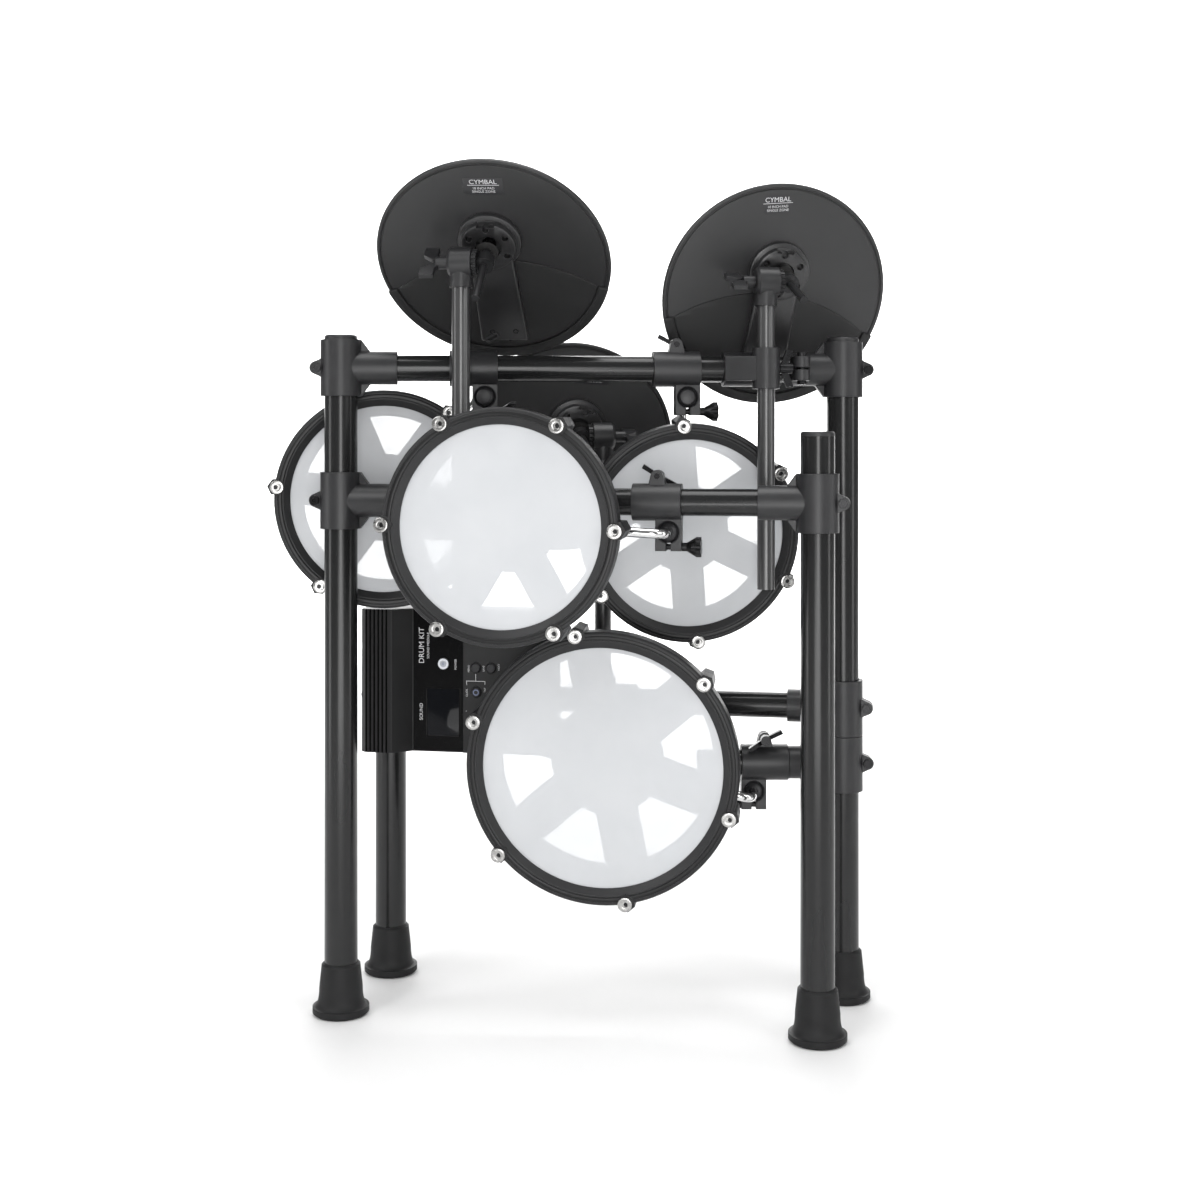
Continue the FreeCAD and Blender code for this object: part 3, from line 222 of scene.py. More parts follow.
# finishes
moulded = {  # edge is the radius that rounds sharp edges in the shading, in metres
    "tubeBlack": dict(colour=(0.011, 0.0112, 0.0115), rough=0.22, spread=0.010, grain=520, mottle=5, bump=0.01,
                      edge=0.0, shine=0.42),
    "armBlack": dict(colour=(0.030, 0.030, 0.031), rough=0.28, spread=0.004, grain=520, mottle=5, bump=0.01,
                     edge=0.0, shine=0.95),
    "clampBlack": dict(colour=(0.0165, 0.0165, 0.0178), rough=0.40, spread=0.10, grain=1500, mottle=30, bump=0.10,
                       edge=0.0014, shine=0.50),
    "hoopBlack": dict(colour=(0.0165, 0.0165, 0.0175), rough=0.44, spread=0.10, grain=1700, mottle=24, bump=0.16,
                      edge=0.0010, shine=0.36),
    # the hoop's own plastic, much darker than hoopBlack: painted shade on the hoop's inner rim
    "rimPaintedShade": dict(colour=(0.0048, 0.0048, 0.0052), rough=0.36, spread=0.06, grain=1700, mottle=24, bump=0.04,
                     edge=0.0006, shine=0.34),
    "shellBlack": dict(colour=(0.022, 0.022, 0.023), rough=0.50, spread=0.10, grain=1500, mottle=20, bump=0.10,
                       edge=0.0008, shine=0.36),
    "footRubber": dict(colour=(0.009, 0.009, 0.0095), rough=0.55, spread=0.12, grain=1300, mottle=35, bump=0.12,
                       edge=0.0008, shine=0.28),
    "cymbalBlack": dict(colour=(0.014, 0.014, 0.0148), rough=0.46, spread=0.08, grain=1800, mottle=14, bump=0.10,
                        edge=0.0009, shine=0.62),
    "mountBlack": dict(colour=(0.014, 0.014, 0.0148), rough=0.33, spread=0.08, grain=1600, mottle=30, bump=0.06,
                       edge=0.0011, shine=0.75),
    "rubberZone": dict(colour=(0.0085, 0.0085, 0.009), rough=0.58, spread=0.08, grain=2200, mottle=12, bump=0.10,
                       edge=0.0009, shine=0.50),
    "moduleBlack": dict(colour=(0.0092, 0.0092, 0.0097), rough=0.42, spread=0.08, grain=2000, mottle=22, bump=0.06,
                        edge=0.0013, shine=0.36),
    # near-black, almost matte copy of the case plastic: painted shade in the spine's grooves
    "groovePaintedShade": dict(colour=(0.0016, 0.0016, 0.0017), rough=0.70, spread=0.08, grain=1500, mottle=30, bump=0.05,
                        edge=0.0, shine=0.05),
    "buttonBlack": dict(colour=(0.022, 0.022, 0.024), rough=0.42, spread=0.10, grain=1600, mottle=40, bump=0.06,
                        edge=0.0005, shine=0.36),
    "boltBlack": dict(colour=(0.022, 0.022, 0.023), rough=0.30, spread=0.12, grain=900, mottle=60, bump=0.05,
                      edge=0.0003, metal=0.7),
    "steelBlack": dict(colour=(0.016, 0.016, 0.017), rough=0.34, spread=0.12, grain=900, mottle=30, bump=0.06,
                       edge=0.0005, metal=0.25),
    "feltGrey": dict(colour=(0.022, 0.0215, 0.021), rough=0.95, spread=0.05, grain=2600, mottle=300, bump=0.6,
                     edge=0.0),
    "foamGrey": dict(colour=(0.075, 0.075, 0.078), rough=0.92, spread=0.06, grain=1800, mottle=500, bump=0.5,
                     edge=0.0),
}
mouldRecipe = dict(tints=((0.25, 0.78), (0.5, 1.0), (0.78, 1.28)), mix=(0.7, 1.3), grainDeep=0.0004, shine=0.4)
chromes = {"screwChrome": ((0.46, 0.455, 0.445), 0.24), "rodChrome": ((0.84, 0.84, 0.84), 0.10)}  # tint, roughness
chromeRecipe = dict(haze=260, dark=0.86, rough=(0.7, 1.5))
film = dict(cloud=14, fine=1400, dark=(0.735, 0.752, 0.775), pale=(0.785, 0.80, 0.82), rough=(0.36, 0.48),
            bump=0.08, bumpDeep=0.0003, alpha=0.59)  # alpha is for each of its two sides
glosses = {  # colour, roughness, shine
    "panelGloss": ((0.0018, 0.0018, 0.002), 0.10, 0.10),
    "screenGlass": ((0.0040, 0.0044, 0.0056), 0.06, 0.14),
}
glossRecipe = dict(dust=900, low=0.35, high=0.72, pale=1.6, rough=(0.7, 1.6))
prints = {  # colour, roughness
    "markPale": ((0.62, 0.62, 0.63), 0.5),
    "markGrey": ((0.20, 0.20, 0.21), 0.5),
    "labelDark": ((0.024, 0.024, 0.026), 0.38),
    "ringPale": ((0.72, 0.74, 0.78), 0.35),
    "ringBlue": ((0.16, 0.19, 0.30), 0.35),
    "ringSilver": ((0.44, 0.46, 0.50), 0.30),
}
printRecipe = dict(wear=1100, low=0.28, high=0.6, dark=0.82, rough=0.06)


def plainNodes(name):
    finish = bpy.data.materials.new(name)
    finish.use_nodes = True
    tree = finish.node_tree
    shader = tree.nodes["Principled BSDF"]
    coords = tree.nodes.new("ShaderNodeTexCoord")
    return finish, tree, shader, coords


def noiseNode(tree, coords, scale, detail):
    noise = tree.nodes.new("ShaderNodeTexNoise")
    noise.inputs["Scale"].default_value = scale
    noise.inputs["Detail"].default_value = detail
    noise.inputs["Roughness"].default_value = 0.55
    tree.links.new(coords.outputs["Object"], noise.inputs["Vector"])
    return noise


def roughBy(tree, shader, source, low, high, fromLow=0.3, fromHigh=0.7):  # roughness follows a noise
    span = tree.nodes.new("ShaderNodeMapRange")
    span.inputs["From Min"].default_value = fromLow
    span.inputs["From Max"].default_value = fromHigh
    span.inputs["To Min"].default_value = low
    span.inputs["To Max"].default_value = high
    tree.links.new(source, span.inputs["Value"])
    tree.links.new(span.outputs["Result"], shader.inputs["Roughness"])


def colourBy(tree, shader, source, stops):  # base colour follows a noise
    ramp = tree.nodes.new("ShaderNodeValToRGB")
    ramp.color_ramp.elements[0].position = stops[0][0]
    ramp.color_ramp.elements[0].color = (*stops[0][1], 1)
    ramp.color_ramp.elements[1].position = stops[-1][0]
    ramp.color_ramp.elements[1].color = (*stops[-1][1], 1)
    for position, colour in stops[1:-1]:
        ramp.color_ramp.elements.new(position).color = (*colour, 1)
    tree.links.new(source, ramp.inputs["Fac"])
    tree.links.new(ramp.outputs["Color"], shader.inputs["Base Color"])


def bumpBy(tree, shader, source, strength, deep):
    bump = tree.nodes.new("ShaderNodeBump")
    bump.inputs["Strength"].default_value = strength
    bump.inputs["Distance"].default_value = deep
    tree.links.new(source, bump.inputs["Height"])
    tree.links.new(bump.outputs["Normal"], shader.inputs["Normal"])
    return bump


def scaled(colour, k):
    return tuple(c * k for c in colour)


def mouldedFinish(name, f):  # moulded plastic, rubber, felt and coated metal share one recipe
    finish, tree, shader, coords = plainNodes(name)
    mottle = noiseNode(tree, coords, f["mottle"], 4.0)
    grain = noiseNode(tree, coords, f["grain"], 2.0)
    tints = [(position, scaled(f["colour"], k)) for position, k in mouldRecipe["tints"]]
    colourBy(tree, shader, mottle.outputs["Fac"], tints)
    both = tree.nodes.new("ShaderNodeMath")
    both.operation = "ADD"
    tree.links.new(mottle.outputs["Fac"], both.inputs[0])
    tree.links.new(grain.outputs["Fac"], both.inputs[1])
    half = f["spread"] / 2
    roughBy(tree, shader, both.outputs[0], f["rough"] - half, f["rough"] + half, *mouldRecipe["mix"])
    bump = bumpBy(tree, shader, grain.outputs["Fac"], f["bump"], mouldRecipe["grainDeep"])
    if f["edge"]:
        rounding = tree.nodes.new("ShaderNodeBevel")
        rounding.samples = 4
        rounding.inputs["Radius"].default_value = f["edge"]
        tree.links.new(rounding.outputs["Normal"], bump.inputs["Normal"])
    shader.inputs["Metallic"].default_value = f.get("metal", 0.0)
    shader.inputs["Specular IOR Level"].default_value = f.get("shine", mouldRecipe["shine"])
    return finish


def chromeFinish(name, tint, rough):
    finish, tree, shader, coords = plainNodes(name)
    shader.inputs["Metallic"].default_value = 1.0
    haze = noiseNode(tree, coords, chromeRecipe["haze"], 5.0).outputs["Fac"]
    colourBy(tree, shader, haze, [(0.3, scaled(tint, chromeRecipe["dark"])), (0.7, tint)])
    roughBy(tree, shader, haze, *scaled(chromeRecipe["rough"], rough))
    return finish


def filmFinish(name):  # frosted drum head: lets part of what lies behind shine through
    finish, tree, shader, coords = plainNodes(name)
    cloud = noiseNode(tree, coords, film["cloud"], 3.0).outputs["Fac"]
    fine = noiseNode(tree, coords, film["fine"], 2.0).outputs["Fac"]
    colourBy(tree, shader, cloud, [(0.3, film["dark"]), (0.7, film["pale"])])
    roughBy(tree, shader, fine, *film["rough"])
    bumpBy(tree, shader, fine, film["bump"], film["bumpDeep"])
    shader.inputs["Alpha"].default_value = film["alpha"]
    finish.use_backface_culling = False
    return finish


def glossFinish(name, colour, rough, shine):
    finish, tree, shader, coords = plainNodes(name)
    r = glossRecipe
    dust = noiseNode(tree, coords, r["dust"], 4.0).outputs["Fac"]
    colourBy(tree, shader, dust, [(r["low"], colour), (r["high"], scaled(colour, r["pale"]))])
    roughBy(tree, shader, dust, *scaled(r["rough"], rough))
    shader.inputs["Specular IOR Level"].default_value = shine
    return finish


def printFinish(name, colour, rough):  # painted lines, words and rings, a little worn
    finish, tree, shader, coords = plainNodes(name)
    r = printRecipe
    wear = noiseNode(tree, coords, r["wear"], 4.0).outputs["Fac"]
    colourBy(tree, shader, wear, [(r["low"], scaled(colour, r["dark"])), (r["high"], colour)])
    roughBy(tree, shader, wear, rough - r["rough"], rough + r["rough"])
    return finish


for look, facts in moulded.items():
    make[look] = mouldedFinish(look, facts)
for look, facts in chromes.items():
    make[look] = chromeFinish(look, *facts)
make["headFilm"] = filmFinish("headFilm")
for look, facts in glosses.items():
    make[look] = glossFinish(look, *facts)
for look, facts in prints.items():
    make[look] = printFinish(look, *facts)
print("finishes made:", len(make))


# carried-over pieces get their finishes
dressFacts = dict(postCap=5.2, teeBolt=50.0, rodClampBolt=65.0, headHalf=0.75)  # millimetres
screwSocket = dict(deep=2.7, lip=0.1, radius=3.7)  # the hexagon sunk into a tension screw's head


def dressPosts():
    for node in ("left_centre_post", "right_centre_post", "front_wing_post", "rear_wing_post"):
        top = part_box(node)[1][2]
        cap = [f.index for f in nodes[node].data.polygons if f.center.z > top - dressFacts["postCap"] * mm]
        dress(node, "tubeBlack", ("clampBlack", cap))


def dressRack():
    for node in ("top_crossbar", "front_wing_bar", "rear_wing_bar", "snare_bar"):
        dress(node, "tubeBlack")
    for node in ("centre_feet", "front_wing_foot", "rear_wing_foot"):
        dress(node, "footRubber")
    for node in ("top_tees", "front_wing_tees", "rear_wing_tees", "snare_tee"):
        bolts = facesOf(g for g in islands(nodes[node]) if g["size"] < dressFacts["teeBolt"] * mm)
        dress(node, "clampBlack", ("boltBlack", bolts))
    for node in ("rack_tom_clamps", "front_tom_clamp", "snare_clamp"):
        bolts = facesOf(g for g in islands(nodes[node]) if g["size"] < dressFacts["rodClampBolt"] * mm)
        dress(node, "clampBlack", ("boltBlack", bolts))
    for node in ("rack_arm_clamp", "front_arm_clamp", "rear_arm_clamp"):
        dress(node, "clampBlack", ("boltBlack", facesOf(islands(nodes[node])[1:])))
    dress("module_bracket", "clampBlack")


def padSpot(pad):  # z comes out of the head's front face
    points = np.array([v.co for v in nodes[pad + "_head"].data.vertices])
    middle = Vector((points.min(axis=0) + points.max(axis=0)) / 2)
    normal = Vector(np.linalg.svd(points - points.mean(axis=0), full_matrices=False)[2][2])
    if normal.y > 0:
        normal = -normal
    right = Vector((-normal.y, normal.x, 0)).normalized()
    return localFrame(middle + normal * dressFacts["headHalf"] * mm, right, normal)


def sunkFaces(node, group, toPad):
    mesh = nodes[node].data
    spots = {f: toPad @ mesh.polygons[f].center for f in group["faces"]}
    top = max(p.z for p in spots.values())
    low = top - screwSocket["deep"] * mm
    high = top - screwSocket["lip"] * mm
    middle = toPad @ ((group["low"] + group["high"]) / 2)
    return [f for f, p in spots.items()
            if low < p.z < high and math.hypot(p.x - middle.x, p.y - middle.y) < screwSocket["radius"] * mm]


def dressPads():
    for pad in padNames:
        screws = islands(nodes[pad + "_hoop"])[1:]
        toPad = padSpot(pad).inverted()
        sunk = [f for g in screws for f in sunkFaces(pad + "_hoop", g, toPad)]
        dress(pad + "_hoop", "hoopBlack", ("screwChrome", facesOf(screws)), ("boltBlack", sunk))
        dress(pad + "_shell", "shellBlack", ("foamGrey", islands(nodes[pad + "_shell"])[-1]["faces"]))  # foam cone
        dress(pad + "_head", "headFilm")
        dress(pad + "_rod", "rodChrome", ("clampBlack", facesOf(islands(nodes[pad + "_rod"])[1:])))  # ball


def dressCymbals():
    for side in cymbalSides:
        arm = side + "_cymbal_arm"
        dress(arm, "armBlack", ("clampBlack", facesOf(islands(nodes[arm])[1:])))  # tilter's fixed block
        tilter = side + "_cymbal_tilter"
        dress(tilter, "steelBlack", ("feltGrey", facesOf(islands(nodes[tilter])[1:])))
        dress(side + "_wing_nut", "clampBlack")
        dress(side + "_cymbal", "cymbalBlack")


def dressModule():  # the case comes with the module's trim
    dress("module_panel", "panelGloss")
    for node in ("data_dial", "power_button", "menu_button", "select_button", "click_button"):
        dress(node, "buttonBlack")


dressPosts()
dressRack()
dressPads()
dressCymbals()
dressModule()
print("carried-over pieces dressed")


# modelling helpers, all sizes in millimetres
def ringPiece(rIn, rOut, low, high, soft, steps, arc=360.0):
    deselect()
    middle = ((rIn + rOut) / 2 * mm, 0, (low + high) / 2 * mm)
    bpy.ops.mesh.primitive_plane_add(size=1, location=middle, rotation=(math.pi / 2, 0, 0))
    piece = bpy.context.object
    piece.scale = ((rOut - rIn) * mm, (high - low) * mm, 1)
    applyPlace()
    bpy.ops.object.mode_set(mode="EDIT")
    bpy.ops.mesh.select_all(action="SELECT")
    if arc == 360.0:  # a full ring has no end faces
        bpy.ops.mesh.delete(type="ONLY_FACE")
        bpy.ops.mesh.select_all(action="SELECT")
    bpy.ops.mesh.spin(steps=steps, angle=math.radians(arc), center=(0, 0, 0), axis=(0, 0, 1))
    bpy.ops.mesh.select_all(action="SELECT")
    bpy.ops.mesh.remove_doubles(threshold=1e-6)
    bpy.ops.mesh.normals_make_consistent(inside=False)
    leaveEdit()
    if soft:
        softEdges(piece, soft)
    smoothByAngle(piece)
    return piece


def platePiece(width, height, low, high, corner, soft):
    deselect()
    bpy.ops.mesh.primitive_cube_add(size=1, location=(0, 0, (low + high) / 2 * mm))
    piece = bpy.context.object
    piece.scale = (width * mm, height * mm, (high - low) * mm)
    applyPlace()
    if corner:
        pickEdges(piece, lambda a, b: abs(a.z - b.z) > (high - low) * mm * 0.9)
        bpy.ops.mesh.bevel(offset=corner * mm, segments=5, affect="EDGES")
        leaveEdit()
    if soft:
        softEdges(piece, soft)
    smoothByAngle(piece)
    return piece


def discPiece(radius, low, high, soft, sides=48):
    deselect()
    bpy.ops.mesh.primitive_cylinder_add(
        vertices=sides, radius=radius * mm, depth=(high - low) * mm, location=(0, 0, (low + high) / 2 * mm))
    piece = bpy.context.object
    applyPlace()
    if soft:
        softEdges(piece, soft)
    smoothByAngle(piece)
    return piece


def lathePiece(profile, steps=144):  # a disc grown ring by ring from its middle, closed at both ends
    deselect()
    r, z = profile[0]
    bpy.ops.mesh.primitive_circle_add(vertices=steps, radius=r * mm, fill_type="NGON", location=(0, 0, z * mm))
    piece = bpy.context.object
    applyPlace()
    bpy.ops.object.mode_set(mode="EDIT")
    bpy.ops.mesh.select_mode(type="EDGE")
    bpy.ops.mesh.select_all(action="SELECT")
    bpy.ops.mesh.region_to_loop()
    for nextR, nextZ in profile[1:]:
        bpy.ops.mesh.extrude_edges_move(TRANSFORM_OT_translate={"value": (0, 0, (nextZ - z) * mm)})
        bpy.ops.transform.resize(value=(nextR / r, nextR / r, 1), center_override=(0, 0, nextZ * mm))
        r, z = nextR, nextZ
    bpy.ops.mesh.edge_face_add()
    bpy.ops.mesh.select_all(action="SELECT")
    bpy.ops.mesh.normals_make_consistent(inside=False)
    leaveEdit()
    smoothByAngle(piece, 30)
    return piece


def cutBy(piece, tool, how):  # boolean with a second piece that is used up
    bakeOn(piece, "BOOLEAN", operation=how, object=tool, solver="EXACT")
    bpy.data.objects.remove(tool, do_unlink=True)


def wordPiece(text, size, low, high):  # raised print, made mesh at once
    deselect()
    bpy.ops.object.text_add(location=(0, 0, (low + high) / 2 * mm))
    word = bpy.context.object
    word.data.body = text
    word.data.size = size * mm
    word.data.align_x = "CENTER"
    word.data.align_y = "CENTER"
    word.data.resolution_u = 3
    word.data.extrude = (high - low) / 2 * mm
    bpy.ops.object.convert(target="MESH")
    piece = bpy.context.object
    applyPlace()
    return piece


def sinkTop(piece, rim, deep):  # leaves a rim round a sunk top face
    top = max(v.co.z for v in piece.data.vertices)
    pickFaces(piece, lambda f: f.normal.z > 0.9 and f.center.z > top - 1e-5)
    bpy.ops.mesh.inset(thickness=rim * mm)
    bpy.ops.mesh.extrude_region_move(TRANSFORM_OT_translate={"value": (0, 0, -deep * mm)})
    leaveEdit()


def sunkDisc(head, sink):  # screw heads and hexagon nuts
    piece = discPiece(*head)
    sinkTop(piece, *sink)
    return piece


def joinPieces(pieces):
    deselect()
    for piece in pieces:
        piece.select_set(True)
    bpy.context.view_layer.objects.active = pieces[0]
    bpy.ops.object.join()
    return pieces[0]


# cymbals, underside up about the middle of the mount
cymbalFacts = dict(eyeAt=24.8, mountHigh=13.0, roll=dict(left=0.0, right=4.0, hihat=21.0))
cymbalShape = dict(
    centre=-28.0,
    plate=((6.0, -3.3), (30.0, -2.8), (60.0, -2.0), (90.0, -1.2), (119.0, -0.4), (119.9, -0.5), (120.5, -1.7),
           (121.6, -1.7), (122.2, -0.4), (123.3, -0.05), (124.7, -0.35), (125.7, -1.3), (126.1, -3.0), (125.8, -4.7),
           (124.7, -5.9), (122.0, -6.5), (95.0, -8.3), (63.0, -9.5), (30.0, -10.4), (6.0, -10.9)),
    zone=dict(profile=((6.0, -1.7), (30.0, -1.3), (60.0, -0.5), (90.0, 0.25), (113.4, 0.9), (114.4, 0.2),
                       (114.4, -5.0), (6.0, -5.0)), arc=188.0, apex=2.0, sweep=(-8.0, 4.0, 0, 360), soft=0.35),
    lip=dict(inner=115.2, outer=126.1, low=-4.2, high=2.7, soft=1.3, steps=96, span=147.0),
    flange=dict(radius=34.0, low=-4.0, high=4.6, soft=2.0),
    ring=dict(radius=29.0, low=-4.0, high=12.9, soft=1.6, well=14.0, wellDeep=8.0, bore=7.5, holes=6, holeRing=22.0,
              hole=3.7),
    notch=dict(width=19.0, long=20.0, deep=7.0, over=4.0, out=24.0),
    bell=((18.5, -15.0), (24.0, -14.2), (31.0, -11.6), (37.0, -8.2), (37.0, -6.0), (18.5, -6.0)),
    tongue=dict(width=46.0, near=-18.0, far=-132.0, low=-3.0, high=8.5, spread=1.15, drop=4.6, soft=2.4),
    clear=(-30.0, 30.0),  # low and high of the tools that cut right through
    sides=dict(mount=96, well=64, bore=48, hole=32))
cymbalLooks = dict(plate="cymbalBlack", zone="rubberZone", lip="rubberZone", flange="mountBlack", tongue="mountBlack",
                   boss="mountBlack", bell="cymbalBlack")
cymbalLabel = dict(
    sheet=(41.5, 20.5, -0.4, 0.28, 1.2, 0.08), sunk=-1.08, lean=1.55, left=(1.7, 67.0, -1.4),
    right=(-14.3, 74.6, 8.5), hihat=(-7.0, 63.0, 18.0), print=(0.2, 0.36),
    rule=dict(y=1.2, size=(33.0, 0.55), corner=0.15),
    words=(("CYMBAL", 5.0, 7.6), ("10 INCH PAD", -2.7, 3.9), ("SINGLE ZONE", -6.7, 3.9)))  # text, y, size
cymbalTrim = dict(
    screw=dict(head=(3.3, 3.0, 4.9, 0.4, 28), sink=(1.0, 1.3), at=((-12.0, -118.0), (14.0, -118.0))),
    jack=dict(at=(6.0, -131.6, 0.6), collar=(2.2, 3.1, -1.0, 1.4, 0.25, 40), bore=(2.25, -1.0, 0.4, 0.0, 32),
              sink=(0.4, 0.5)),
    clip=dict(at=(-13.0, -126.0), turn=35.0, loop=(18.0, 8.0, 2.5, 6.2, 3.8, 0.4), sink=(1.7, 2.4)))


def cymbalSpot(side):  # z comes out of the underside
    tilt = joints[side + "_cymbal_tilt"]
    pin = Vector(tilt["axis"]).normalized()
    rock = Vector(joints[side + "_cymbal_rock"]["pos_m"])
    stem = (Vector(tilt["pos_m"]) + pin * cymbalFacts["eyeAt"] * mm - rock).normalized()
    right = pin if pin.x > 0 else -pin
    spot = localFrame(rock - stem * cymbalFacts["mountHigh"] * mm, right, stem)
    return spot @ spinZ(-cymbalFacts["roll"][side])


def zonePiece(facts):  # raised lower field, bounded by a wide arc just above the disc's middle
    piece = lathePiece(facts["profile"])
    sweep = slide(discPiece(facts["arc"], *facts["sweep"]), 0, facts["apex"] - facts["arc"])
    cutBy(piece, sweep, "INTERSECT")
    slide(piece, 0, cymbalShape["centre"])
    softEdges(piece, facts["soft"], 2, 50)
    return piece


def lipPiece(facts):  # rubber edge along the lower rim
    piece = ringPiece(facts["inner"], facts["outer"], facts["low"], facts["high"], facts["soft"], facts["steps"],
                      facts["span"])
    piece.data.transform(spinZ(-90 + facts["span"] / 2))
    return slide(piece, 0, cymbalShape["centre"])


def tonguePiece(facts):  # channel from the mount towards the lip, lower and wider at its far end
    piece = platePiece(facts["width"], facts["near"] - facts["far"], facts["low"], facts["high"], 0, 0)
    slide(piece, 0, (facts["near"] + facts["far"]) / 2)
    far = facts["far"] * mm
    pickFaces(piece, lambda f: f.normal.y < -0.9)
    bpy.ops.transform.resize(value=(facts["spread"], 1, 1), center_override=(0, far, 0))
    leaveEdit()
    pickEdges(piece, lambda a, b: max(a.y, b.y) < far + 1e-5 and min(a.z, b.z) > facts["high"] * mm - 1e-5)
    bpy.ops.transform.translate(value=(0, 0, -facts["drop"] * mm))
    leaveEdit()
    softEdges(piece, facts["soft"], 4)
    return piece


def bossPiece(ring, notch, sides):  # raised mount with a notch at its upper edge
    piece = discPiece(ring["radius"], ring["low"], ring["high"], ring["soft"], sides)
    slot = platePiece(notch["width"], notch["long"], ring["high"] - notch["deep"], ring["high"] + notch["over"], 0, 0)
    cutBy(piece, slide(slot, 0, notch["out"] + notch["long"] / 2), "DIFFERENCE")
    return piece


def cymbalParts():  # modelled once, copied for each side
    ring, base, sides = cymbalShape["ring"], cymbalShape["flange"], cymbalShape["sides"]
    under, over = cymbalShape["clear"]
    floor = ring["high"] - ring["wellDeep"]
    plate = slide(lathePiece(cymbalShape["plate"]), 0, cymbalShape["centre"])
    cutBy(plate, discPiece(ring["bore"], under, over, 0, sides["bore"]), "DIFFERENCE")
    zone = zonePiece(cymbalShape["zone"])
    lip = lipPiece(cymbalShape["lip"])
    flange = discPiece(base["radius"], base["low"], base["high"], base["soft"], sides["mount"])
    tongue = tonguePiece(cymbalShape["tongue"])
    boss = bossPiece(ring, cymbalShape["notch"], sides["mount"])
    for piece in (flange, tongue, boss):
        cutBy(piece, discPiece(ring["well"], floor, over, 0, sides["well"]), "DIFFERENCE")
        cutBy(piece, discPiece(ring["bore"], under, over, 0, sides["bore"]), "DIFFERENCE")
    for k in range(ring["holes"]):
        drill = discPiece(ring["hole"], floor, over, 0, sides["hole"])
        cutBy(boss, slide(drill, *onCircle(ring["holeRing"], 360 / ring["holes"] * (k + 0.5))), "DIFFERENCE")
    bell = lathePiece(cymbalShape["bell"], sides["mount"])
    cutBy(bell, discPiece(ring["bore"], under, over, 0, sides["bore"]), "DIFFERENCE")
    for piece in (plate, flange, tongue, boss, bell):
        smoothByAngle(piece, 30)
    return dict(plate=plate, zone=zone, lip=lip, flange=flange, tongue=tongue, boss=boss, bell=bell)


def makeCymbals():
    parts = cymbalParts()
    for side in cymbalSides:
        spot = cymbalSpot(side)
        for word, model in parts.items():
            name = side + "_cymbal_" + word
            twin = settle(copyOf(model, name), spot, name, side + "_cymbal", cymbalLooks[word])
            if word == "plate":
                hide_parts(side + "_cymbal")
    for model in parts.values():
        bpy.data.objects.remove(model, do_unlink=True)


def labelFor(side, spot):
    facts = cymbalLabel
    x, y, turn = facts[side]
    lie = shiftTo(spot, x, y, facts["sunk"], turn) @ Matrix.Rotation(math.radians(facts["lean"]), 4, "X")
    sheet = platePiece(*facts["sheet"])
    settle(sheet, lie, side + "_cymbal_label", side + "_cymbal", "labelDark")
    rule = facts["rule"]
    rows = [slide(platePiece(*rule["size"], *facts["print"], rule["corner"], 0), 0, rule["y"])]
    for text, rowY, size in facts["words"]:
        rows.append(slide(wordPiece(text, size, *facts["print"]), 0, rowY))
    settle(joinPieces(rows), lie, side + "_cymbal_label_marks", side + "_cymbal", "markPale")


def makeCymbalTrim():
    screw, jack, clip = cymbalTrim["screw"], cymbalTrim["jack"], cymbalTrim["clip"]
    facing = localFrame(Vector(jack["at"]) * mm, Vector((1, 0, 0)), Vector((0, -1, 0)))
    for side in cymbalSides:
        name = body = side + "_cymbal"
        spot = cymbalSpot(side)
        labelFor(side, spot)
        screws = [slide(sunkDisc(screw["head"], screw["sink"]), x, y) for x, y in screw["at"]]
        settle(joinPieces(screws), spot, name + "_screws", body, "boltBlack")
        settle(ringPiece(*jack["collar"]), spot @ facing, name + "_jack_collar", body, "boltBlack")
        bore = sunkDisc(jack["bore"], jack["sink"])
        settle(bore, spot @ facing, name + "_jack_bore", body, "boltBlack")
        loop = platePiece(*clip["loop"])
        sinkTop(loop, *clip["sink"])
        clipSpot = shiftTo(spot, *clip["at"], 0, clip["turn"])
        settle(loop, clipSpot, name + "_cord_clip", body, "clampBlack")


# pads: hoop rims, screw crowns, rod caps, and the jack and screws on the back of each shell
padTrim = dict(
    rim=dict(face=(5.7, 6.2), gap=0.1, wide=5.2, low=4.4, high=6.8, soft=1.1, steps=160),
    crown=dict(headFrom=9.0, over=0.05, low=9.6, high=11.1, soft=0.5, bore=3.05, steps=40),
    socket=dict(radius=3.15, low=9.6, high=10.2, sides=6),
    rodCap=dict(around=9.0, disc=(8.0, -0.6, 1.9, 1.1)),
    back=-48.0,
    jack=dict(out=24.0, turn=90.0, plate=(19.0, 17.0, -0.2, 2.0, 3.0, 0.5), nut=(6.2, 1.8, 3.8, 0.35, 6),
              nutSink=(2.4, 1.2), barrel=(2.6, 3.7, 2.4, 5.0, 0.25, 36)),
    screw=dict(out=36.0, turns=(150.0, 210.0, 270.0), head=(3.4, -0.2, 1.9, 0.5, 28), sink=(1.6, 0.9)),
    rodTurn=dict(front_tom=-3.6, left_tom=45.5, right_tom=91.0, snare=-15.8))


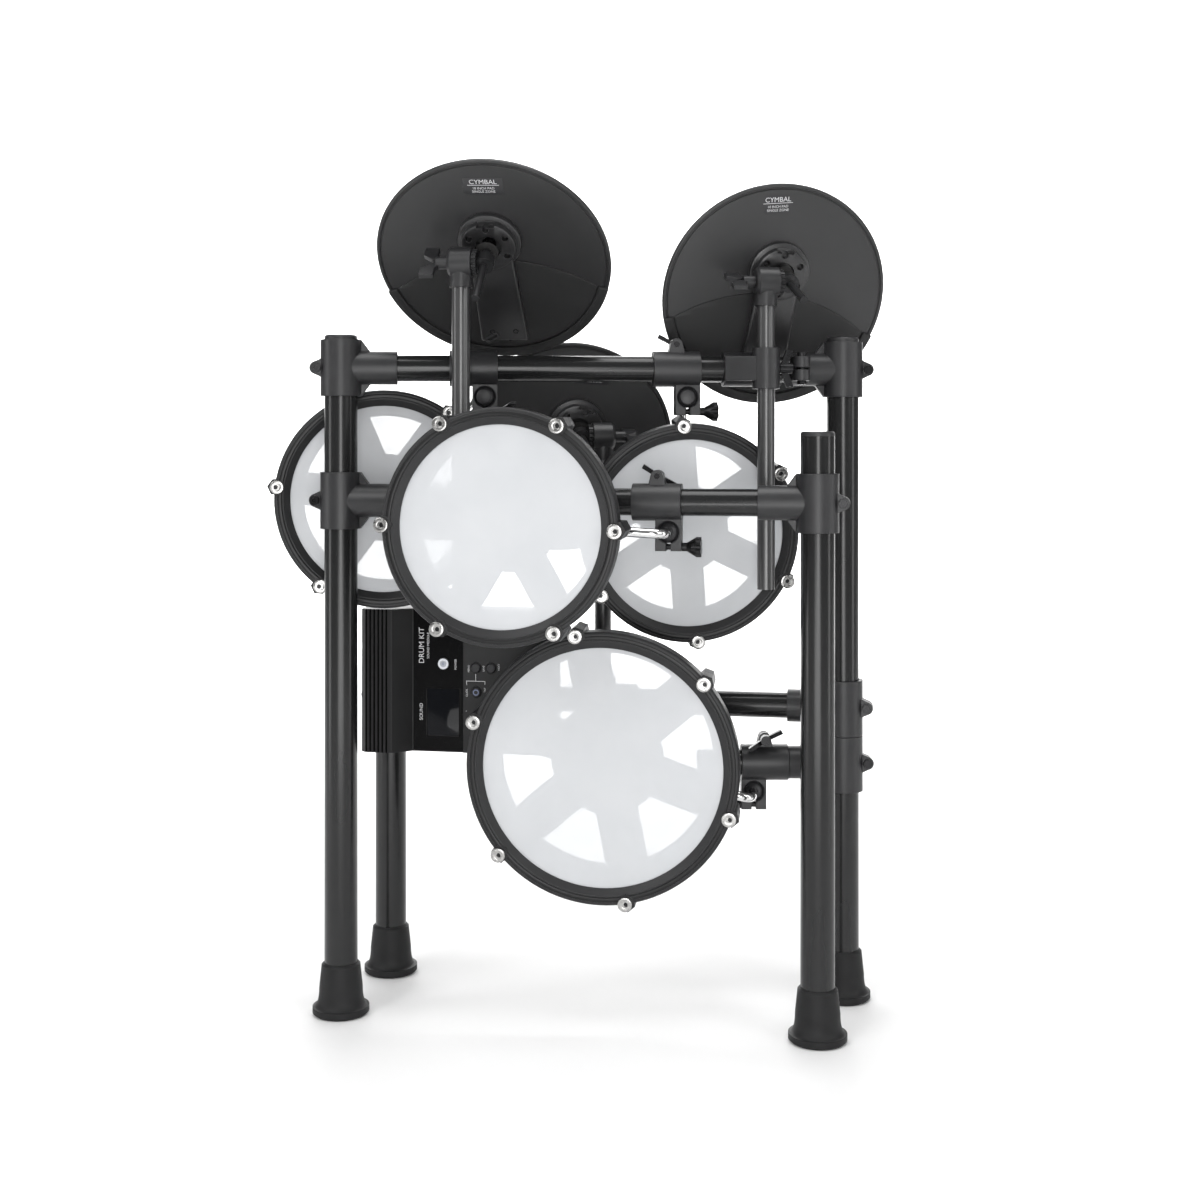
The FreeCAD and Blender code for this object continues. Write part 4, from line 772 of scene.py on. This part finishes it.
def hoopTrim(pad, spot, body):  # rolled rim on the hoop's face, coloured darker than the hoop as painted shade on its inner slope; capped tension screws
    toPad = spot.inverted()
    mesh = nodes[pad + "_hoop"].data
    hoop, *screws = islands(nodes[pad + "_hoop"])
    rim, crown, socket = padTrim["rim"], padTrim["crown"], padTrim["socket"]
    low, high = rim["face"]
    face = [toPad @ co for co in pointsOf(mesh, hoop)]
    inner = min(math.hypot(p.x, p.y) for p in face if low * mm < p.z < high * mm) / mm
    rims = ringPiece(inner + rim["gap"], inner + rim["wide"], rim["low"], rim["high"], rim["soft"], rim["steps"])
    # the rim takes a darker copy of the hoop plastic as painted shade
    settle(rims, spot, pad + "_hoop_rims", body, "rimPaintedShade")
    crowns, floors = [], []
    for group in screws:
        middle = toPad @ ((group["low"] + group["high"]) / 2)
        head = [p for p in (toPad @ co for co in pointsOf(mesh, group)) if p.z > crown["headFrom"] * mm]
        headR = max(math.hypot(p.x - middle.x, p.y - middle.y) for p in head) / mm
        outer = headR + crown["over"]
        cap = ringPiece(crown["bore"], outer, crown["low"], crown["high"], crown["soft"], crown["steps"])
        crowns.append(slide(cap, middle.x / mm, middle.y / mm))
        floor = discPiece(socket["radius"], socket["low"], socket["high"], 0, socket["sides"])
        floors.append(slide(floor, middle.x / mm, middle.y / mm))
    settle(joinPieces(crowns), spot, pad + "_screw_crowns", body, "screwChrome")
    settle(joinPieces(floors), spot, pad + "_screw_sockets", body, "boltBlack")


def rodCap(pad):  # black plug on the rod's free end; the rod goes through the clamp's ball from front to back
    facts = padTrim["rodCap"]
    rod, ball = islands(nodes[pad + "_rod"])[:2]
    centre = (ball["low"] + ball["high"]) / 2
    points = [co - centre for co in pointsOf(nodes[pad + "_rod"].data, rod)]
    near = [p for p in points if math.hypot(p.x, p.z) < facts["around"] * mm]
    ends = [(max(p.dot(way) for p in near), way) for way in (Vector((0, 1, 0)), Vector((0, -1, 0)))]
    reach, way = min(ends, key=lambda e: e[0])
    spot = localFrame(centre + way * reach, way.cross(Vector((0, 0, 1))), way)
    settle(discPiece(*facts["disc"]), spot, pad + "_rod_cap", pad + "_rod", "clampBlack")


def makePadTrim():
    jack, screw = padTrim["jack"], padTrim["screw"]
    for pad in padNames:
        spot = padSpot(pad)
        body = pad + "_pad"
        hoopTrim(pad, spot, body)
        rodCap(pad)
        back = shiftTo(spot, 0, 0, padTrim["back"], padTrim["rodTurn"][pad]) @ Matrix.Rotation(math.pi, 4, "X")
        jackSpot = shiftTo(back, *onCircle(jack["out"], jack["turn"]))
        settle(platePiece(*jack["plate"]), jackSpot, pad + "_jack_plate", body, "clampBlack")
        nut = sunkDisc(jack["nut"], jack["nutSink"])
        settle(nut, jackSpot, pad + "_jack_nut", body, "screwChrome")
        settle(ringPiece(*jack["barrel"]), jackSpot, pad + "_jack_barrel", body, "boltBlack")
        heads = []
        for turn in screw["turns"]:
            heads.append(slide(sunkDisc(screw["head"], screw["sink"]), *onCircle(screw["out"], turn)))
        settle(joinPieces(heads), back, pad + "_hub_screws", body, "boltBlack")


# module: painted shade in the spine's grooves, display, words, rings, sockets on its back; x and y from the panel's
# lower left corner
moduleTrim = dict(
    dialAt=(172.0, 64.5),
    grooves=dict(deep=1.15, lip=0.1, x=(6.5, 34.0), y=(1.0, 156.5)),
    display=dict(middle=(90.4, 44.0), bezel=(39.2, 54.7, -0.15, 0.30, 2.0, 0.12), sink=(1.6, 0.2),
                 glass=(36.0, 51.5, 0.05, 0.22, 0.8, 0.05)),
    print=(-0.1, 0.14),
    lines=((127.3, 83.0, 0.55, 8.0), (127.3, 79.0, 21.4, 0.55), (116.9, 77.2, 0.55, 3.8), (137.7, 77.2, 0.55, 3.8)),
    dots=((117.2, 75.0, 1.3, 1.3), (116.6, 46.0, 1.3, 1.3)),
    buttonWords=(("MENU", 119.4, 92.6, 2.9), ("SAVE", 136.4, 93.0, 2.9), ("NEXT", 153.4, 95.0, 2.9),
                 ("CLICK", 117.4, 66.0, 3.1), ("TAP", 137.6, 69.4, 2.9)),
    panelWords=(("DRUM KIT", 66.0, 117.0, 8.6), ("SOUND MODULE", 73.4, 117.0, 3.7), ("POWER", 104.6, 97.0, 3.4),
                ("SOUND", 65.6, 44.0, 5.4)),
    ticks=dict(count=11, radius=23.5, start=-40.0, end=220.0, size=(2.6, 0.6), corner=0.15))
buttonTrim = dict(
    glow=(3.6, 5.9, 2.0, 2.85, 0.15, 56), face=(3.55, 2.2, 2.75, 0.12, 48), faceSink=(0.5, 0.1),
    mark=(0.75, 1.35, 2.6, 2.8, 0.05, 32), markStretch=(0.72, 1.25), click=(2.2, 3.4, 2.5, 2.8, 0.1, 48))
moduleBack = dict(
    deep=-40.0,
    plate=dict(size=(150.0, 22.0, -0.2, 1.2, 3.0, 0.4), at=(96.0, 134.0)),
    sockets=dict(x=(36, 60, 84, 108, 132, 156), y=134, nut=(5.6, 1.0, 2.9, 0.3, 6), sink=(2.1, 1.0),
                 barrel=(2.4, 3.4, 1.6, 4.2, 0.2, 36)),
    inlets=dict(rows=((40.0, 12.0, 11.0), (66.0, 9.5, 5.0), (150.0, 34.0, 13.0)), y=18.0, shape=(-0.2, 1.6, 1.6, 0.3),
                sink=(1.3, 1.4)),
    screws=dict(at=((12, 10), (202, 10), (12, 143), (202, 143)), head=(3.2, -0.3, 0.9, 0.4, 28), sink=(1.5, 0.7)))


def moduleSpot():  # z comes out of the panel
    turn = joints["data_dial_turn"]
    face = Vector(turn["axis"]).normalized()
    if face.y > 0:
        face = -face
    up = Vector((0, 0, 1))
    along = up.cross(face)
    x, y = moduleTrim["dialAt"]
    return localFrame(Vector(turn["pos_m"]) - along * x * mm - up * y * mm, along, face)


def spineGrooves():  # faces of the fine grooves along the module's raised spine, which get painted shade
    facts = moduleTrim["grooves"]
    mesh = nodes["module_case"].data
    toModule = moduleSpot().inverted()
    top = max((toModule @ v.co).z for v in mesh.vertices)
    left, right = facts["x"]
    low, high = facts["y"]

    def inGroove(p):
        return (top - facts["deep"] * mm < p.z < top - facts["lip"] * mm
                and left * mm < p.x < right * mm and low * mm < p.y < high * mm)

    return [f.index for f in mesh.polygons if inGroove(toModule @ f.center)]


def strokes(name, rows, finish, spot):  # printed bars and dots
    bars = []
    for x, y, wide, tall in rows:
        bars.append(slide(platePiece(wide, tall, *moduleTrim["print"], min(wide, tall) * 0.3, 0), x, y))
    settle(joinPieces(bars), spot, name, "module", finish)


def uprightWords(name, rows, spot):  # read from below upwards
    words = []
    for text, x, y, size in rows:
        word = wordPiece(text, size, *moduleTrim["print"])
        word.data.transform(spinZ(90))
        words.append(slide(word, x, y))
    settle(joinPieces(words), spot, name, "module", "markPale")


def makePanelTrim(spot):
    display = moduleTrim["display"]
    screenSpot = shiftTo(spot, *display["middle"])
    bezel = platePiece(*display["bezel"])
    sinkTop(bezel, *display["sink"])
    settle(bezel, screenSpot, "module_display_bezel", "module", "panelGloss")
    settle(platePiece(*display["glass"]), screenSpot, "module_display_glass", "module", "screenGlass")
    strokes("module_lines", moduleTrim["lines"], "markPale", spot)
    strokes("module_dots", moduleTrim["dots"], "markGrey", spot)
    uprightWords("module_button_words", moduleTrim["buttonWords"], spot)
    uprightWords("module_panel_words", moduleTrim["panelWords"], spot)
    facts = moduleTrim["ticks"]
    step = (facts["end"] - facts["start"]) / (facts["count"] - 1)
    ticks = []
    for k in range(facts["count"]):
        tick = slide(platePiece(*facts["size"], *moduleTrim["print"], facts["corner"], 0), facts["radius"], 0)
        tick.data.transform(spinZ(facts["start"] + step * k))
        ticks.append(tick)
    dialSpot = shiftTo(spot, *moduleTrim["dialAt"])
    settle(joinPieces(ticks), dialSpot, "module_dial_ticks", "module", "markGrey")


def makeButtonTrim(spot):
    def over(node):  # the panel's frame, moved to a button's middle
        low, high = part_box(node)
        middle = spot.inverted() @ ((Vector(low) + Vector(high)) / 2)
        return shiftTo(spot, middle.x / mm, middle.y / mm)

    power = over("power_button")
    settle(ringPiece(*buttonTrim["glow"]), power, "power_button_ring", "power_button", "ringPale")
    face = sunkDisc(buttonTrim["face"], buttonTrim["faceSink"])
    settle(face, power, "power_button_face", "power_button", "ringSilver")
    mark = ringPiece(*buttonTrim["mark"])
    mark.data.transform(Matrix.Diagonal((*buttonTrim["markStretch"], 1, 1)))
    settle(mark, power, "power_button_mark", "power_button", "ringBlue")
    click = ringPiece(*buttonTrim["click"])
    settle(click, over("click_button"), "click_button_ring", "click_button", "ringBlue")


def makeModuleBack(spot):  # x runs the other way on the back
    back = shiftTo(spot, 0, 0, moduleBack["deep"]) @ Matrix.Rotation(math.pi, 4, "Y")
    x, y = moduleBack["plate"]["at"]
    plate = platePiece(*moduleBack["plate"]["size"])
    settle(plate, shiftTo(back, -x, y), "module_socket_plate", "module", "clampBlack")
    sockets, inlets, screws = moduleBack["sockets"], moduleBack["inlets"], moduleBack["screws"]
    nuts, barrels, ports = [], [], []
    for x in sockets["x"]:
        nuts.append(slide(sunkDisc(sockets["nut"], sockets["sink"]), -x, sockets["y"]))
        barrels.append(slide(ringPiece(*sockets["barrel"]), -x, sockets["y"]))
    settle(joinPieces(nuts), back, "module_socket_nuts", "module", "screwChrome")
    settle(joinPieces(barrels), back, "module_socket_barrels", "module", "boltBlack")
    for x, wide, tall in inlets["rows"]:
        port = platePiece(wide, tall, *inlets["shape"])
        sinkTop(port, *inlets["sink"])
        ports.append(slide(port, -x, inlets["y"]))
    settle(joinPieces(ports), back, "module_back_inlets", "module", "boltBlack")
    heads = [slide(sunkDisc(screws["head"], screws["sink"]), -x, y) for x, y in screws["at"]]
    settle(joinPieces(heads), back, "module_case_screws", "module", "boltBlack")


def makeModuleTrim():
    spot = moduleSpot()
    # the groove faces get a near-black copy of the case plastic as painted shade
    dress("module_case", "moduleBlack", ("groovePaintedShade", spineGrooves()))
    makePanelTrim(spot)
    makeButtonTrim(spot)
    makeModuleBack(spot)


makeCymbals()
makeCymbalTrim()
print("cymbals made")
makePadTrim()
print("pad trim made")
makeModuleTrim()
print("module trim made")


# stage, lights and camera
studio = dict(floor=5.0, wall=4.0, bend=1.6, bendSteps=12, floorLow=-0.0004, floorColour=(0.785, 0.785, 0.785),
              cloud=1.5, shade=0.985, rough=0.6, shine=0.2, worldStrength=0.24)
softBoxes = dict(  # place, aim, size, power
    keyLeft=((-1.9, -2.2, 2.3), (0, 0, 0.45), (1.3, 1.6), 36),
    fillRight=((2.1, -1.9, 1.7), (0, 0, 0.45), (1.2, 1.8), 20),
    overhead=((0.0, -0.2, 2.9), (0, 0, 0.3), (2.2, 1.6), 46),
    stripLeft=((-1.7, -0.45, 0.75), (0, 0, 0.6), (0.32, 1.5), 6),
    stripRight=((1.75, -0.5, 0.75), (0, 0, 0.6), (0.32, 1.5), 5),
    frontBox=((0.1, -2.7, 0.75), (0, 0, 0.6), (0.7, 1.0), 15),
    floorCard=((0.0, -1.55, 0.02), (0, -0.4, 1.0), (1.1, 0.9), 13),
    wallWash=((0.0, 2.2, 3.6), (0, 5.2, 1.2), (5.0, 1.0), 420),
    wallWashLow=((0.0, 2.4, 0.5), (0, 5.2, 1.6), (5.0, 0.5), 160))
cameraFacts = dict(side=0.2763, back=1.707, height=0.6102, lens=48.0, sensor=36.0, shift=-160 / 1200, far=60)


def makeStage():  # floor that bends up into a wall
    deselect()
    edge = studio["floor"] - 0.01
    bpy.ops.mesh.primitive_plane_add(size=studio["floor"] * 2, location=(0, 0, studio["floorLow"]))
    floor = bpy.context.object
    floor.name = "paleFloor"
    pickEdges(floor, lambda a, b: a.y > edge and b.y > edge)
    bpy.ops.mesh.extrude_region_move(TRANSFORM_OT_translate={"value": (0, 0, studio["wall"] * 2)})
    leaveEdit()
    bakeOn(floor, "BEVEL", width=studio["bend"], segments=studio["bendSteps"], limit_method="ANGLE", angle_limit=1.0)
    smoothByAngle(floor, 60)
    finish, tree, shader, coords = plainNodes("paleFloor")
    cloud = noiseNode(tree, coords, studio["cloud"], 2.0).outputs["Fac"]
    pale = studio["floorColour"]
    colourBy(tree, shader, cloud, [(0.3, scaled(pale, studio["shade"])), (0.7, pale)])
    shader.inputs["Roughness"].default_value = studio["rough"]
    shader.inputs["Specular IOR Level"].default_value = studio["shine"]
    floor.data.materials.append(finish)


def softBox(name, where, aim, size, power):
    lamp = bpy.data.lights.new(name, "AREA")
    lamp.shape = "RECTANGLE"
    lamp.size, lamp.size_y = size
    lamp.energy = power
    lampObject = bpy.data.objects.new(name, lamp)
    bpy.context.scene.collection.objects.link(lampObject)
    lampObject.location = where
    lampObject.visible_camera = False
    lampObject.rotation_euler = (Vector(aim) - Vector(where)).to_track_quat("-Z", "Y").to_euler()


def makeLights():
    world = bpy.data.worlds.new("studioAir")
    world.use_nodes = True
    air = world.node_tree.nodes["Background"]
    air.inputs["Color"].default_value = (1, 1, 1, 1)
    air.inputs["Strength"].default_value = studio["worldStrength"]
    bpy.context.scene.world = world
    for name, facts in softBoxes.items():
        softBox(name, *facts)


def makeCamera():  # level, placed from the left centre post
    low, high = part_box("left_centre_post")
    postX, postY = (low[0] + high[0]) / 2, (low[1] + high[1]) / 2
    eye = bpy.data.cameras.new("photoView")
    eye.lens = cameraFacts["lens"]
    eye.sensor_width = cameraFacts["sensor"]
    eye.sensor_fit = "HORIZONTAL"
    eye.shift_y = cameraFacts["shift"]
    eye.clip_end = cameraFacts["far"]
    eyeObject = bpy.data.objects.new("photoView", eye)
    bpy.context.scene.collection.objects.link(eyeObject)
    eyeObject.location = (postX + cameraFacts["side"], postY - cameraFacts["back"], cameraFacts["height"])
    eyeObject.rotation_euler = (math.pi / 2, 0, 0)
    bpy.context.scene.camera = eyeObject


makeStage()
makeLights()
makeCamera()
bpy.context.scene.view_settings.view_transform = "Standard"
bpy.context.scene.view_settings.look = "None"
print("stage, lights and camera set")
